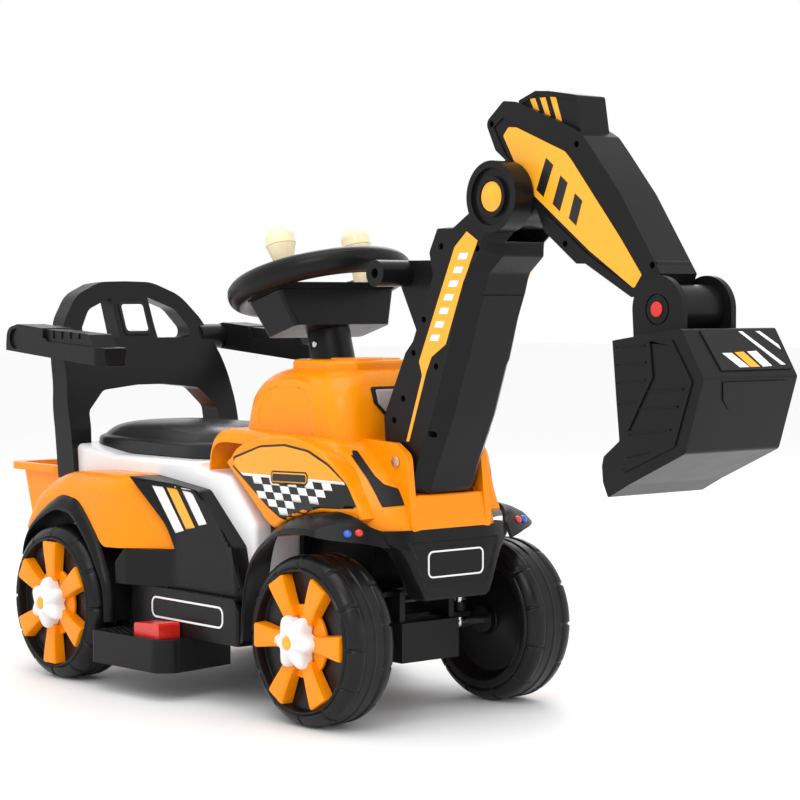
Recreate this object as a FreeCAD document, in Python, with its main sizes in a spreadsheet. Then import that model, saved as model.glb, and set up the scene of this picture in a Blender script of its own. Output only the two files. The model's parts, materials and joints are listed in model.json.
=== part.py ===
"""Ride-on toy digger: chassis, steering, wheels and a three-joint digging arm.

Millimetres. +X points forward, +Y to the rider's left and +Z up. Every outline below is drawn in a
working frame whose X is zero at the rear axle; each sub-part's Placement then moves it by
frame_origin_x, so that the finished toy's origin is on the ground under the middle of its box.
"""
import FreeCAD
import Part
import math
import os
from types import SimpleNamespace
from FreeCAD import Placement, Rotation, Vector

# ------------------------------------------------------------------ driving dimensions
DIMENSIONS = {
    "frame_origin_x": 364.8,
    "running_gap": 0.05,
    "wall": 2.6,
    # wheels and axles
    "wheel_radius": 92.5,
    "tyre_width": 65,
    "shoulder_radius": 16,
    "dish_depth": 11,
    "spoke_tip_radius": 73.6,
    "spoke_width": 24,
    "spoke_height": 15,
    "spoke_count": 6,
    "hub_star_radius": 30.5,
    "hub_star_height": 22.5,
    "wheelbase": 450.5,
    "rear_track_half": 157.7,
    "front_track_half": 130.7,
    "axle_diameter": 12,
    # steering
    "kingpin_offset": 68,
    "steering_arm": 30,
    "column_lean": 16.5,
    "column_x": 304,
    "column_z": 409,
    "column_radius": 25,
    "rim_radius": 93,
    "rim_height": 72,
    "rim_tube": 15,
    "knob_spacing_half": 56,
    "knob_forward": 12,
    "knob_radius": 17,
    # digging arm
    "boom_half_width": 46,
    "boom_face_half": 29,
    "boom_pivot_x": 490,
    "boom_pivot_z": 283,
    "elbow_x": 633.8,
    "elbow_z": 564.8,
    "elbow_boss_radius": 37.2,
    "stick_half_width": 26,
    "bucket_pivot_x": 855.1,
    "bucket_pivot_z": 449.2,
    "bucket_ear_radius": 33,
    "bucket_half_width": 67,
    "handle_x": 470,
    "handle_z": 487,
    "handle_diameter": 29,
    "handle_length": 144,
    # seat, backrest and armrests
    "armrest_pivot_x": -103,
    "armrest_pivot_z": 410,
    "armrest_inner": 138,
    "armrest_outer": 176,
    "body_half_width": 120,
    # gearbox
    "gear_module": 1,
    "output_teeth": 48,
    "idler_teeth": 36,
    "pinion_teeth": 12,
    # battery
    "battery_length": 100,
    "battery_width": 70,
    "battery_height": 47,
}

doc = FreeCAD.newDocument("ride_on_digger")
sheet = doc.addObject("Spreadsheet::Sheet", "dims")
for row, (name, value) in enumerate(DIMENSIONS.items(), start=1):
    sheet.set(f"A{row}", name)
    sheet.set(f"B{row}", str(value))
    sheet.setAlias(f"B{row}", name)
doc.recompute()
dim = SimpleNamespace(**{name: float(sheet.get(name)) for name in DIMENSIONS})

SHIFT = Vector(-dim.frame_origin_x, 0, 0)
UPRIGHT = Rotation(Vector(1, 0, 0), 90)      # outline (a, b) stands as (x, z)
FACING = Rotation(Vector(1, 1, 1), 120)      # outline (a, b) stands as (y, z), seen from the front
nodes = []


# ------------------------------------------------------------------ outlines
def outline_curves(points):
    """Straight runs and tangent corner arcs through (a, b) or (a, b, radius) corners."""
    corners = [Vector(p[0], p[1], 0) for p in points]
    radii = [p[2] if len(p) > 2 else 0 for p in points]
    entries, exits, middles = [], [], []
    for i, corner in enumerate(corners):
        before = (corners[i - 1] - corner).normalize()
        after = (corners[(i + 1) % len(corners)] - corner).normalize()
        half = before.getAngle(after) / 2
        if radii[i] == 0:
            entries.append(corner)
            exits.append(corner)
            middles.append(None)
            continue
        reach = radii[i] / math.tan(half)
        inward = (before + after).normalize()
        centre = corner + inward * (radii[i] / math.sin(half))
        entries.append(corner + before * reach)
        exits.append(corner + after * reach)
        middles.append(centre - inward * radii[i])
    curves = []
    for i in range(len(corners)):
        if middles[i] is not None:
            curves.append(Part.Arc(entries[i], middles[i], exits[i]))
        following = entries[(i + 1) % len(corners)]
        if exits[i].distanceToPoint(following) > 1e-6:
            curves.append(Part.LineSegment(exits[i], following))
    return curves


def wire(points, rotation=Rotation(), offset=Vector()):
    flat = Part.Wire([curve.toShape() for curve in outline_curves(points)])
    flat.Placement = Placement(offset, rotation)
    return flat


def prism(points, rotation, direction, low, high):
    face = Part.Face(wire(points, rotation, direction * low))
    return face.extrude(direction * (high - low))


def side_prism(points, y_low, y_high):
    """Outline of (x, z) corners, thick in Y."""
    return prism(points, UPRIGHT, Vector(0, 1, 0), y_low, y_high)


def front_prism(points, x_low, x_high):
    """Outline of (y, z) corners, thick in X."""
    return prism(points, FACING, Vector(1, 0, 0), x_low, x_high)


def plan_prism(points, z_low, z_high):
    """Outline of (x, y) corners, thick in Z."""
    return prism(points, Rotation(), Vector(0, 0, 1), z_low, z_high)


def mirrored_outline(half):
    """Closes an outline of (y, z) corners with y >= 0 across the middle plane."""
    other = [(-p[0],) + tuple(p[1:]) for p in reversed(half) if p[0] > 0]
    return list(half) + other


def side_loft(sections):
    """Ruled solid through (y, outline) sections."""
    wires = [wire(points, UPRIGHT, Vector(0, y, 0)) for y, points in sections]
    return Part.makeLoft(wires, True, True)


def front_loft(sections, ruled=True):
    """Solid through (x, half outline) sections."""
    wires = [wire(mirrored_outline(half), FACING, Vector(x, 0, 0)) for x, half in sections]
    return Part.makeLoft(wires, True, ruled)


def plan_loft(sections, ruled=True):
    """Solid through (z, outline) sections."""
    wires = [wire(points, Rotation(), Vector(0, 0, z)) for z, points in sections]
    return Part.makeLoft(wires, True, ruled)


def rectangle(a_low, a_high, b_low, b_high, radius=0):
    corners = ((a_low, b_low), (a_high, b_low), (a_high, b_high), (a_low, b_high))
    return [(a, b, radius) for a, b in corners]


def box(x_low, x_high, y_low, y_high, z_low, z_high):
    return Part.makeBox(x_high - x_low, y_high - y_low, z_high - z_low, Vector(x_low, y_low, z_low))


def cross_rod(x, z, radius, y_low, y_high):
    """Round rod along Y."""
    return Part.makeCylinder(radius, y_high - y_low, Vector(x, y_low, z), Vector(0, 1, 0))


def cross_ring(x, z, outer, inner, y_low, y_high):
    return cross_rod(x, z, outer, y_low, y_high).cut(cross_rod(x, z, inner, y_low, y_high))


def mirror_y(shape):
    return shape.mirror(Vector(0, 0, 0), Vector(0, 1, 0))


def both_sides(shape):
    return Part.makeCompound([shape, mirror_y(shape)])


def shrunk(points, step):
    """The outline's inside at a wall's distance, for hollowing a moulding."""
    return Part.Face(wire(points)).makeOffset2D(-step, 2)


def hollow_side_prism(points, y_low, y_high, wall):
    """Cavity for a side_prism: the outline drawn in by the wall, between two Y planes."""
    face = shrunk(points, wall)
    face.Placement = Placement(Vector(0, y_low, 0), UPRIGHT)
    return face.extrude(Vector(0, y_high - y_low, 0))


# ------------------------------------------------------------------ document objects
def keep(obj):
    nodes.append(obj)
    return obj


def feature(label, shape):
    """A moulding whose free shape no parametric feature fits."""
    obj = doc.addObject("Part::Feature", label)
    if shape.ShapeType == "Compound" and len(shape.Solids) == 1:
        shape = shape.Solids[0]
    obj.Shape = shape
    obj.Placement = Placement(SHIFT, Rotation()).multiply(shape.Placement)
    return keep(obj)


def bind(obj, **expressions):
    for prop, text in expressions.items():
        obj.setExpression(prop.replace("__", "."), text)
    return obj


def origin_plane(body, role):
    return next(item for item in body.Origin.OriginFeatures if item.Role == role)


def new_sketch(body, role, outlines, offset=0.0):
    sketch = body.newObject("Sketcher::SketchObject", body.Name + "_sketch")
    sketch.AttachmentSupport = (origin_plane(body, role), [""])
    sketch.MapMode = "FlatFace"
    sketch.AttachmentOffset = Placement(Vector(0, 0, offset), Rotation())
    for points in outlines:
        sketch.addGeometry(outline_curves(points), False)
    return sketch


def circle_sketch(body, role, circles, offset=0.0):
    sketch = body.newObject("Sketcher::SketchObject", body.Name + "_circles")
    sketch.AttachmentSupport = (origin_plane(body, role), [""])
    sketch.MapMode = "FlatFace"
    sketch.AttachmentOffset = Placement(Vector(0, 0, offset), Rotation())
    for x, y, radius in circles:
        sketch.addGeometry(Part.Circle(Vector(x, y, 0), Vector(0, 0, 1), radius), False)
    return sketch


def new_body(label, x="0", y="0", z="0", rotation=Rotation()):
    """A body standing at (x, y, z) of the working frame, each an expression on the sheet."""
    body = doc.addObject("PartDesign::Body", label)
    body.Placement = Placement(Vector(), rotation)
    body.setExpression("Placement.Base.x", f"{x} - dims.frame_origin_x")
    body.setExpression("Placement.Base.y", y)
    body.setExpression("Placement.Base.z", z)
    return keep(body)


def pad(body, sketch, length, symmetric=False, reverse=False):
    item = body.newObject("PartDesign::Pad", body.Name + "_pad")
    item.Profile = sketch
    item.SideType = "Symmetric" if symmetric else "One side"
    item.Reversed = reverse
    item.setExpression("Length", length)
    return item


def pocket(body, sketch, length, symmetric=False, reverse=False):
    item = body.newObject("PartDesign::Pocket", body.Name + "_pocket")
    item.Profile = sketch
    item.SideType = "Symmetric" if symmetric else "One side"
    item.Reversed = reverse
    item.setExpression("Length", length)
    return item


def revolve(body, sketch, name="Revolution"):
    item = body.newObject("PartDesign::" + name, body.Name + "_turned")
    item.Profile = sketch
    item.ReferenceAxis = (sketch, ["V_Axis"])
    item.Angle = 360
    return item


def polar_pattern(body, item, count):
    pattern = body.newObject("PartDesign::PolarPattern", body.Name + "_pattern")
    pattern.Originals = [item]
    pattern.Axis = (origin_axis(body, "Z_Axis"), [""])
    pattern.Angle = 360
    pattern.setExpression("Occurrences", count)
    body.Tip = pattern
    return pattern


def origin_axis(body, role):
    return next(item for item in body.Origin.OriginFeatures if item.Role == role)


# ------------------------------------------------------------------ wheels
OUTBOARD_RIGHT = Rotation(Vector(1, 0, 0), 90)
OUTBOARD_LEFT = Rotation(Vector(1, 0, 0), -90)


def tyre_outline():
    """Half section of the blow-moulded tyre as (radius, distance outboard)."""
    half = dim.tyre_width / 2
    bore = dim.axle_diameter / 2 + dim.running_gap
    face = half - dim.dish_depth
    return [
        (bore, -28), (16, -28), (16, -19), (60, -15), (69, -half),
        (dim.wheel_radius, -half, dim.shoulder_radius),
        (dim.wheel_radius, half, dim.shoulder_radius),
        (76, half), (74.5, face), (bore, face),
    ]


def tyre_cavity():
    """The air inside the tyre, one wall in from its skin."""
    half = dim.tyre_width / 2 - dim.wall
    tread = dim.wheel_radius - dim.wall
    face = dim.tyre_width / 2 - dim.dish_depth - dim.wall
    inner_shoulder = dim.shoulder_radius - 2 * dim.wall
    return [
        (19, -16), (61, -12), (71, -half), (tread, -half, inner_shoulder),
        (tread, half, inner_shoulder), (78.5, half), (76.5, face), (19, face),
    ]


def make_wheel(corner, x, y, outboard, first_spoke):
    rotation = OUTBOARD_LEFT if outboard > 0 else OUTBOARD_RIGHT
    turned = rotation.multiply(Rotation(Vector(0, 0, 1), first_spoke))
    face = "dims.tyre_width / 2 - dims.dish_depth"

    tyre = new_body(corner + "_tyre", x, y, "dims.wheel_radius", turned)
    revolve(tyre, new_sketch(tyre, "XZ_Plane", [tyre_outline()]))
    revolve(tyre, new_sketch(tyre, "XZ_Plane", [tyre_cavity()]), "Groove")

    spokes = new_body(corner + "_spokes", x, y, "dims.wheel_radius", turned)
    ring = circle_sketch(spokes, "XY_Plane", [(0, 0, 40), (0, 0, 12.5)])
    bind(ring, AttachmentOffset__Base__z=face)
    pad(spokes, ring, "5.5")
    inner, tip, wide = dim.hub_star_radius + 0.5, dim.spoke_tip_radius, dim.spoke_width / 2
    blade = [(inner, -8), (tip - 12, -wide, 6), (tip, -wide + 1, 2), (tip, wide - 1, 2), (tip - 12, wide, 6),
             (inner, 8)]
    blade_sketch = new_sketch(spokes, "XY_Plane", [blade])
    bind(blade_sketch, AttachmentOffset__Base__z=face)
    polar_pattern(spokes, pad(spokes, blade_sketch, "dims.spoke_height"), "dims.spoke_count")

    star = new_body(corner + "_hub_star", x, y, "dims.wheel_radius", turned)
    base = circle_sketch(star, "XY_Plane", [(0, 0, 21)])
    bind(base, AttachmentOffset__Base__z=face + " + 5.5")
    pad(star, base, "dims.hub_star_height - 5")
    lobe = new_sketch(star, "XY_Plane", [rectangle(10, dim.hub_star_radius, -7, 7, 5)])
    bind(lobe, AttachmentOffset__Base__z=face + " + 5.5")
    polar_pattern(star, pad(star, lobe, "dims.hub_star_height - 8"), "dims.spoke_count")
    boss = circle_sketch(star, "XY_Plane", [(0, 0, 11.5)])
    bind(boss, AttachmentOffset__Base__z=face + " + 5.5")
    pad(star, boss, "dims.hub_star_height")
    well = circle_sketch(star, "XY_Plane", [(0, 0, 10.5)])
    bind(well, AttachmentOffset__Base__z=face + " + 5.5")
    pocket(star, well, "dims.hub_star_height - 5", reverse=True)


def make_wheels():
    for side, sign in (("right", -1), ("left", 1)):
        make_wheel("rear_" + side, "0", f"{sign} * dims.rear_track_half", sign, 30)
        make_wheel("front_" + side, "dims.wheelbase", f"{sign} * dims.front_track_half", sign, 0)


# ------------------------------------------------------------------ axles and steering linkage
AXLE_END = 30          # axle rod beyond the wheel's middle plane
PUSH_NUT = (22.2, 26)  # push nut, measured outboard of the wheel's middle plane
LINK_LEVEL = 118       # height of the tie rod's upper face
LINK_THICK = 5
LINK_PIN = 3


def make_rear_axle():
    radius = dim.axle_diameter / 2
    rod = doc.addObject("Part::Cylinder", "axle_rod")
    bind(rod, Radius="dims.axle_diameter / 2", Height=f"2 * dims.rear_track_half + {2 * AXLE_END}")
    rod.Placement = Placement(Vector(0, -dim.rear_track_half - AXLE_END, dim.wheel_radius), OUTBOARD_LEFT)
    parts = [rod]
    for index, sign in enumerate((-1, 1)):
        nut = doc.addObject("Part::Cylinder", f"push_nut_{index}")
        nut.Radius = 9.5
        nut.Height = PUSH_NUT[1] - PUSH_NUT[0]
        start = sign * (dim.rear_track_half + PUSH_NUT[0])
        turn = OUTBOARD_LEFT if sign > 0 else OUTBOARD_RIGHT
        nut.Placement = Placement(Vector(0, start, dim.wheel_radius), turn)
        parts.append(nut)
    axle = doc.addObject("Part::MultiFuse", "rear_axle")
    axle.Shapes = parts
    bind(axle, Placement__Base__x="-dims.frame_origin_x")
    keep(axle)


def spindle_shape(sign):
    """Bent steel rod: kingpin, stub axle and the steering arm pointing back to the tie rod."""
    radius = dim.axle_diameter / 2
    x, y = dim.wheelbase, sign * dim.kingpin_offset
    end = sign * (dim.front_track_half + AXLE_END)
    kingpin = Part.makeCylinder(5, 62, Vector(x, y, dim.wheel_radius), Vector(0, 0, 1))
    stub = Part.makeCylinder(radius, abs(end - y), Vector(x, y, dim.wheel_radius), Vector(0, sign, 0))
    elbow = Part.makeSphere(radius, Vector(x, y, dim.wheel_radius))
    nut_start = sign * (dim.front_track_half + PUSH_NUT[0])
    nut_length = PUSH_NUT[1] - PUSH_NUT[0]
    nut = Part.makeCylinder(9.5, nut_length, Vector(x, nut_start, dim.wheel_radius), Vector(0, sign, 0))
    pin_x = x - dim.steering_arm
    arm = plan_prism(rectangle(pin_x - 6, x + 8, y - 7, y + 7, 5), LINK_LEVEL + 0.5, LINK_LEVEL + 4.5)
    pin = Part.makeCylinder(LINK_PIN, LINK_THICK + 3, Vector(pin_x, y, LINK_LEVEL - LINK_THICK - 2))
    return kingpin.multiFuse([stub, elbow, nut, arm, pin])


def column_point(height):
    """Point on the steering axis, a distance above the column's middle."""
    lean = math.radians(dim.column_lean)
    return Vector(dim.column_x - height * math.sin(lean), 0, dim.column_z + height * math.cos(lean))


def on_column(shape, height=0):
    """Stands a shape drawn about +Z on the leaning steering axis."""
    place = Placement(column_point(height), Rotation(Vector(0, 1, 0), -dim.column_lean))
    placed = shape.copy()
    placed.Placement = place.multiply(shape.Placement)
    return placed


SHAFT_FOOT = -278      # bottom of the steel steering shaft along its axis
CRANK_ARM = 15


def make_steering():
    shaft_radius = 5
    shaft = Part.makeCylinder(shaft_radius, 330, Vector(0, 0, SHAFT_FOOT))
    crank = box(-CRANK_ARM - 4, 4, -4, 4, SHAFT_FOOT, SHAFT_FOOT + 6)
    pin = Part.makeCylinder(LINK_PIN, 20, Vector(-CRANK_ARM, 0, SHAFT_FOOT - 16))
    feature("steering_shaft", on_column(shaft.multiFuse([crank, pin])))

    tube = Part.makeCylinder(dim.column_radius, 58, Vector(0, 0, -46))
    tube = tube.cut(Part.makeCylinder(shaft_radius, 60, Vector(0, 0, -47)))
    pocket_for_screw = Part.makeCylinder(5, 4, Vector(0, -dim.column_radius - 1, -2), Vector(0, 1, 0))
    feature("steering_column", on_column(tube.cut(pocket_for_screw)))

    console = new_body("steering_console", rotation=Rotation(Vector(0, 1, 0), -dim.column_lean))
    console.setExpression("Placement.Base.x", "dims.column_x - dims.frame_origin_x")
    console.setExpression("Placement.Base.z", "dims.column_z")
    foot, head = 13, 55
    low = new_sketch(console, "XY_Plane", [rectangle(-26, 30, -69.5, 69.5, 6)], foot)
    high = new_sketch(console, "XY_Plane", [rectangle(-30, 31, -85, 85, 6)], head)
    shell = console.newObject("PartDesign::AdditiveLoft", "console_loft")
    shell.Profile = low
    shell.Sections = [high]
    inner_low = new_sketch(console, "XY_Plane", [rectangle(-23, 27, -66.5, 66.5, 4)], foot + 3)
    inner_high = new_sketch(console, "XY_Plane", [rectangle(-27, 28, -82, 82, 4)], head + 1)
    cavity = console.newObject("PartDesign::SubtractiveLoft", "console_cavity")
    cavity.Profile = inner_low
    cavity.Sections = [inner_high]
    shaft_hole = circle_sketch(console, "XY_Plane", [(0, 0, shaft_radius)], foot - 1)
    pocket(console, shaft_hole, "6", reverse=True)

    # rim and the flat bar across it, open in front of the bar and behind it
    wheel = new_body("steering_wheel", rotation=Rotation(Vector(0, 1, 0), -dim.column_lean))
    wheel.setExpression("Placement.Base.x", "dims.column_x - dims.frame_origin_x")
    wheel.setExpression("Placement.Base.z", "dims.column_z")
    rim = circle_sketch(wheel, "XZ_Plane", [(dim.rim_radius, dim.rim_height, dim.rim_tube)])
    revolve(wheel, rim)
    deck_low = 55.5
    pad(wheel, new_sketch(wheel, "XY_Plane", [rectangle(-30, 31, -88, 88, 6)], deck_low), "8")
    bore = circle_sketch(wheel, "XY_Plane", [(0, 0, shaft_radius)], deck_low - 12)
    pocket(wheel, bore, "14", reverse=True)
    stems = circle_sketch(wheel, "XY_Plane", [
        (dim.knob_forward, sign * dim.knob_spacing_half, 6) for sign in (-1, 1)], 61)
    pad(wheel, stems, "16")

    screw = Part.makeCylinder(4.2, 3, Vector(0, -dim.column_radius + 0.1, -2), Vector(0, 1, 0))
    feature("column_screw", on_column(screw))
    for side, sign in (("right", -1), ("left", 1)):
        make_knob("knob_" + side, sign)


def make_knob(label, sign):
    """Mushroom knob turning on its stem; outline of (radius, height) above the wheel's deck."""
    knob = new_body(label, rotation=Rotation(Vector(0, 1, 0), -dim.column_lean))
    knob.setExpression("Placement.Base.x",
                       "dims.column_x - dims.frame_origin_x + dims.knob_forward * cos(dims.column_lean * 1 deg)")
    knob.setExpression("Placement.Base.y", f"{sign} * dims.knob_spacing_half")
    knob.setExpression("Placement.Base.z", "dims.column_z + dims.knob_forward * sin(dims.column_lean * 1 deg)")
    foot, top, stem = 64, 135, 6
    outline = [
        (stem + dim.running_gap, foot), (11, foot, 2), (11, 92, 14), (dim.knob_radius, 112, 8),
        (dim.knob_radius, 126, 9), (9, top, 7), (0, top), (0, 78), (stem + dim.running_gap, 78),
    ]
    revolve(knob, new_sketch(knob, "XZ_Plane", [outline]))


def make_linkage():
    for side, sign in (("right", -1), ("left", 1)):
        feature("front_spindle_" + side, spindle_shape(sign))

    # tie rod: a flat bar with slots across the car for the arm pins and the crank pin
    rod = new_body("tie_rod", z=str(LINK_LEVEL - LINK_THICK))
    bar_x = dim.wheelbase - dim.steering_arm
    lean = math.radians(dim.column_lean)
    crank_x = column_point(SHAFT_FOOT).x - CRANK_ARM * math.cos(lean) + 2.5
    reach = dim.kingpin_offset + 10
    bar = [(bar_x + 8, reach, 6), (bar_x - 8, reach, 6), (bar_x - 8, 10), (crank_x - 13, 10, 5),
           (crank_x - 13, -10, 5), (bar_x - 8, -10), (bar_x - 8, -reach, 6), (bar_x + 8, -reach, 6)]
    pad(rod, new_sketch(rod, "XY_Plane", [bar]), f"{LINK_THICK}")
    gap = LINK_PIN + 0.4
    slots = [rectangle(bar_x - gap, bar_x + gap + 1.5, sign * dim.kingpin_offset - gap,
                       sign * dim.kingpin_offset + gap, 3) for sign in (-1, 1)]
    slots.append(rectangle(crank_x - gap - 4, crank_x + gap + 4, -gap, gap, 3))
    pocket(rod, new_sketch(rod, "XY_Plane", slots, -1), f"{LINK_THICK + 2}", reverse=True)


def make_front_beam():
    """Cross beam with the two kingpin sleeves and a lower shelf, hung under the bumper."""
    x = dim.wheelbase
    block = box(x - 14, x + 30, -42, 42, 60, 104)
    block = block.cut(box(x - 14 + 3, x + 27, -39, 39, 63, 105))
    sleeve_low, sleeve_high = 100.5, 116.5
    beam = plan_prism(rectangle(x - 13, x + 13, -dim.kingpin_offset - 11, dim.kingpin_offset + 11, 8),
                      100.5, 106.5)
    beam = beam.fuse(block)
    top = plan_prism(rectangle(x - 13, x + 13, -dim.kingpin_offset - 11, dim.kingpin_offset + 11, 8),
                     132, 138)
    posts = [box(x - 10, x + 24, sign * 36 - 4, sign * 36 + 4, 100.5, 138) for sign in (-1, 1)]
    beam = beam.multiFuse([top] + posts)
    for sign in (-1, 1):
        y = sign * dim.kingpin_offset
        beam = beam.fuse(Part.makeCylinder(9, sleeve_high - sleeve_low, Vector(x, y, sleeve_low)))
        beam = beam.fuse(Part.makeCylinder(9, 10, Vector(x, y, 130)))
        beam = beam.cut(Part.makeCylinder(5 + dim.running_gap, 60, Vector(x, y, 95)))
    feature("front_beam", beam)


# ------------------------------------------------------------------ drive: battery, motor and gears
MOTOR_X = 54
IDLER_X = 30
DRIVE_Z = 92.5


def toothed_outline(teeth, module, phase=0.0):
    """Spur gear outline with straight flanks, one tooth centred on the phase angle in degrees."""
    tip, root = module * (teeth / 2 + 0.9), module * (teeth / 2 - 1.15)
    pitch = 2 * math.pi / teeth
    points = []
    for tooth in range(int(teeth)):
        middle = tooth * pitch + math.radians(phase)
        for share, radius in ((-0.30, root), (-0.11, tip), (0.11, tip), (0.30, root)):
            angle = middle + share * pitch
            points.append((radius * math.cos(angle), radius * math.sin(angle)))
    return points


def gear_disc(teeth, phase, x, y_low, y_high):
    """Gear in the drive plane; its outline's (a, b) stand as (x, z)."""
    disc = side_prism(toothed_outline(teeth, dim.gear_module, phase), y_low, y_high)
    disc.translate(Vector(x, 0, DRIVE_Z))
    return disc


def make_drive():
    output, idler, pinion = dim.output_teeth, dim.idler_teeth, dim.pinion_teeth
    bore = dim.axle_diameter / 2 + dim.running_gap
    wheel_hub = -(dim.rear_track_half - 28)
    half_pinion = 180 / pinion

    out = gear_disc(output, 0, 0, -112, -104).fuse(cross_rod(0, DRIVE_Z, 14, wheel_hub, -112))
    feature("output_gear", out.cut(cross_rod(0, DRIVE_Z, bore, wheel_hub - 1, -100)))

    small = gear_disc(pinion, half_pinion, IDLER_X, -113, -102)
    large = gear_disc(idler, 0, IDLER_X, -101.5, -95)
    spindle = cross_rod(IDLER_X, DRIVE_Z, 3, -116, -88)
    neck = cross_rod(IDLER_X, DRIVE_Z, 4.4, -113, -95)
    feature("idler_gear", small.multiFuse([large, spindle, neck]))

    shaft = cross_rod(MOTOR_X, DRIVE_Z, 2.5, -116, -80)
    feature("motor_pinion", gear_disc(pinion, half_pinion, MOTOR_X, -102, -94).fuse(shaft))

    shell = side_prism(rectangle(-29, 80, 62, 122, 12), -116, -88)
    room = side_prism(rectangle(-26.5, 77.5, 64.5, 119.5, 10), -114, -90)
    shell = shell.cut(room).cut(cross_rod(0, DRIVE_Z, 14.5, -117, -113))
    shell = shell.cut(cross_rod(0, DRIVE_Z, 6, -91, -87))
    shell = shell.cut(cross_rod(IDLER_X, DRIVE_Z, 3.05, -117, -87))
    shell = shell.cut(cross_rod(MOTOR_X, DRIVE_Z, 2.55, -117, -87))
    feature("gearbox_housing", shell)

    can = cross_rod(MOTOR_X, DRIVE_Z, 17.5, -86, -34).fuse(cross_rod(MOTOR_X, DRIVE_Z, 6, -88, -30))
    feature("drive_motor", can.cut(cross_rod(MOTOR_X, DRIVE_Z, 2.55, -89, -79)))

    battery = new_body("battery", "160", "0", "73")
    length, width = dim.battery_length / 2, dim.battery_width / 2
    block = new_sketch(battery, "XY_Plane", [rectangle(-length, length, -width, width, 4)])
    pad(battery, block, "dims.battery_height")
    posts = circle_sketch(battery, "XY_Plane", [(30, 20, 4), (30, -20, 4)], dim.battery_height - 1)
    pad(battery, posts, "6")


# ------------------------------------------------------------------ chassis and lower body
def make_underframe():
    """Open tray under the body with a narrow nose between the front wheels."""
    wall = dim.wall
    tray = box(-72, 330, -84, 84, 70, 125).cut(box(-72 + wall, 330 - wall, -84 + wall, 84 - wall, 73, 126))
    nose = box(330 - wall, 436, -46, 46, 140, 190).cut(box(330 - wall - 1, 436 - wall, -43, 43, 143, 191))
    neck = box(300, 470, -40, 40, 140, 143)
    riser = box(322, 330, -60, 60, 120, 190)
    frame = tray.multiFuse([nose, neck, riser])
    frame = frame.cut(cross_rod(MOTOR_X, DRIVE_Z, 18, -86, -78))
    bush = cross_rod(0, DRIVE_Z, 12, 80, 118)
    frame = frame.fuse(bush).cut(cross_rod(0, DRIVE_Z, dim.axle_diameter / 2, -120, 120))
    slot = box(360, 400, -24, 24, 139, 144)
    feature("underframe", frame.cut(slot))


def make_body_shell():
    """White saddle moulding that carries the seat; open underneath."""
    half, wall = dim.body_half_width, dim.wall
    side = [(-92, 125.5), (-92, 270, 10), (-60, 281, 10), (-20, 276, 20), (30, 270, 20), (206, 270),
            (206, 262), (268, 258, 8), (318, 205, 10), (318, 125.5)]
    plan = rectangle(-92, 318, -half, half, 14)
    outer = side_prism(side, -half, half).common(plan_prism(plan, 100, 300))
    inner_plan = rectangle(-92 + wall, 318 - wall, -half + wall, half - wall, 12)
    room = hollow_side_prism(side, -half, half, wall)
    room = room.fuse(box(-92 + wall, 318 - wall, -half, half, 120, 135))
    room = room.common(plan_prism(inner_plan, 100, 300))
    shell = outer.cut(room)
    shell = shell.cut(box(-20, 190, -84, 84, 255, 290))
    feature("body_shell", shell.cut(box(206, 320, -100, 100, 240, 290)))


WHEEL_OPENING = [(-80, 143), (-63, 177, 30), (-8, 204, 30), (27, 201, 20), (68, 166, 25), (98, 118, 30),
                 (99.5, 78)]


def arch_ring(out):
    """Outline of the wheel opening's border, widened outwards by a share of its full width."""
    rim = [(-88, 145), (-68, 185, 34), (-8, 222, 34), (32, 218, 24), (76, 174, 29), (104, 120, 34),
           (106, 78)]
    outer = []
    for near, far in zip(WHEEL_OPENING, rim):
        corner = [near[axis] + (far[axis] - near[axis]) * out for axis in (0, 1)]
        outer.append(tuple(corner + list(near[2:])))
    return outer + list(reversed(WHEEL_OPENING))


def make_rear_fenders():
    """Orange fender over each rear wheel, the black arch inside it, and the striped side cover."""
    half, wall = dim.body_half_width, dim.wall
    lining = side_prism(arch_ring(0.26), -172, -half - 0.2)
    border = side_loft([(-180, arch_ring(0.35)), (-177, arch_ring(0.8)), (-171.1, arch_ring(1))])
    feature("rear_arches", both_sides(lining.fuse(border)))

    crown = [(-76, 172), (-74, 197, 20), (-51, 236, 25), (7, 250, 60), (81, 252, 40), (129, 251.5),
             (176, 198, 60), (190, 168), (120, 166), (103, 150)] + [(76, 175), (32, 218, 20),
             (-6, 223, 12), (-65, 185, 20), (-72, 172)]
    plan = [(-77, -half), (-77, -150, 20), (-60, -170, 30), (105, -170, 20), (125, -166, 20), (189, -140),
            (189, -half)]
    fender = side_prism(crown, -171, -half).common(plan_prism(plan, 90, 300))
    cavity = hollow_side_prism(crown, -171, -half, wall)
    inner_plan = [(-80, -half + 1), (-74, -150, 18), (-58, -170 + wall, 28), (105, -170 + wall, 20),
                  (123, -166 + wall, 20), (189, -140 + wall), (189, -half + 1)]
    fender = fender.cut(cavity.common(plan_prism(inner_plan, 90, 300)))
    feature("rear_fender_right", fender)
    feature("rear_fender_left", mirror_y(fender))

    cover = [(129.6, 251.5), (234, 240, 14), (302, 180, 10), (314, 131, 4), (314, 124), (106, 124),
             (105, 149), (121, 165.5), (190.6, 167.5), (176.6, 198, 60)]
    plan = [(100, -half), (100, -168, 6), (124, -165, 20), (189, -140, 40), (306, -139, 8), (315, -132),
            (315, -half)]
    panel = side_prism(cover, -170, -half).common(plan_prism(plan, 100, 300))
    inner_plan = [(102, -half + 1), (102, -166, 6), (123, -162.5, 20), (188, -137.5, 40), (304, -136.5, 8),
                  (312, -130), (312, -half + 1)]
    panel = panel.cut(hollow_side_prism(cover, -170, -half, wall).common(plan_prism(inner_plan, 100, 300)))
    feature("side_panels", both_sides(panel))


PEDAL_X = (166, 216)
PEDAL_Y = (-181.5, -152)
PEDAL_HINGE = (170, 65)
WELL_FLOOR = 55


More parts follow.
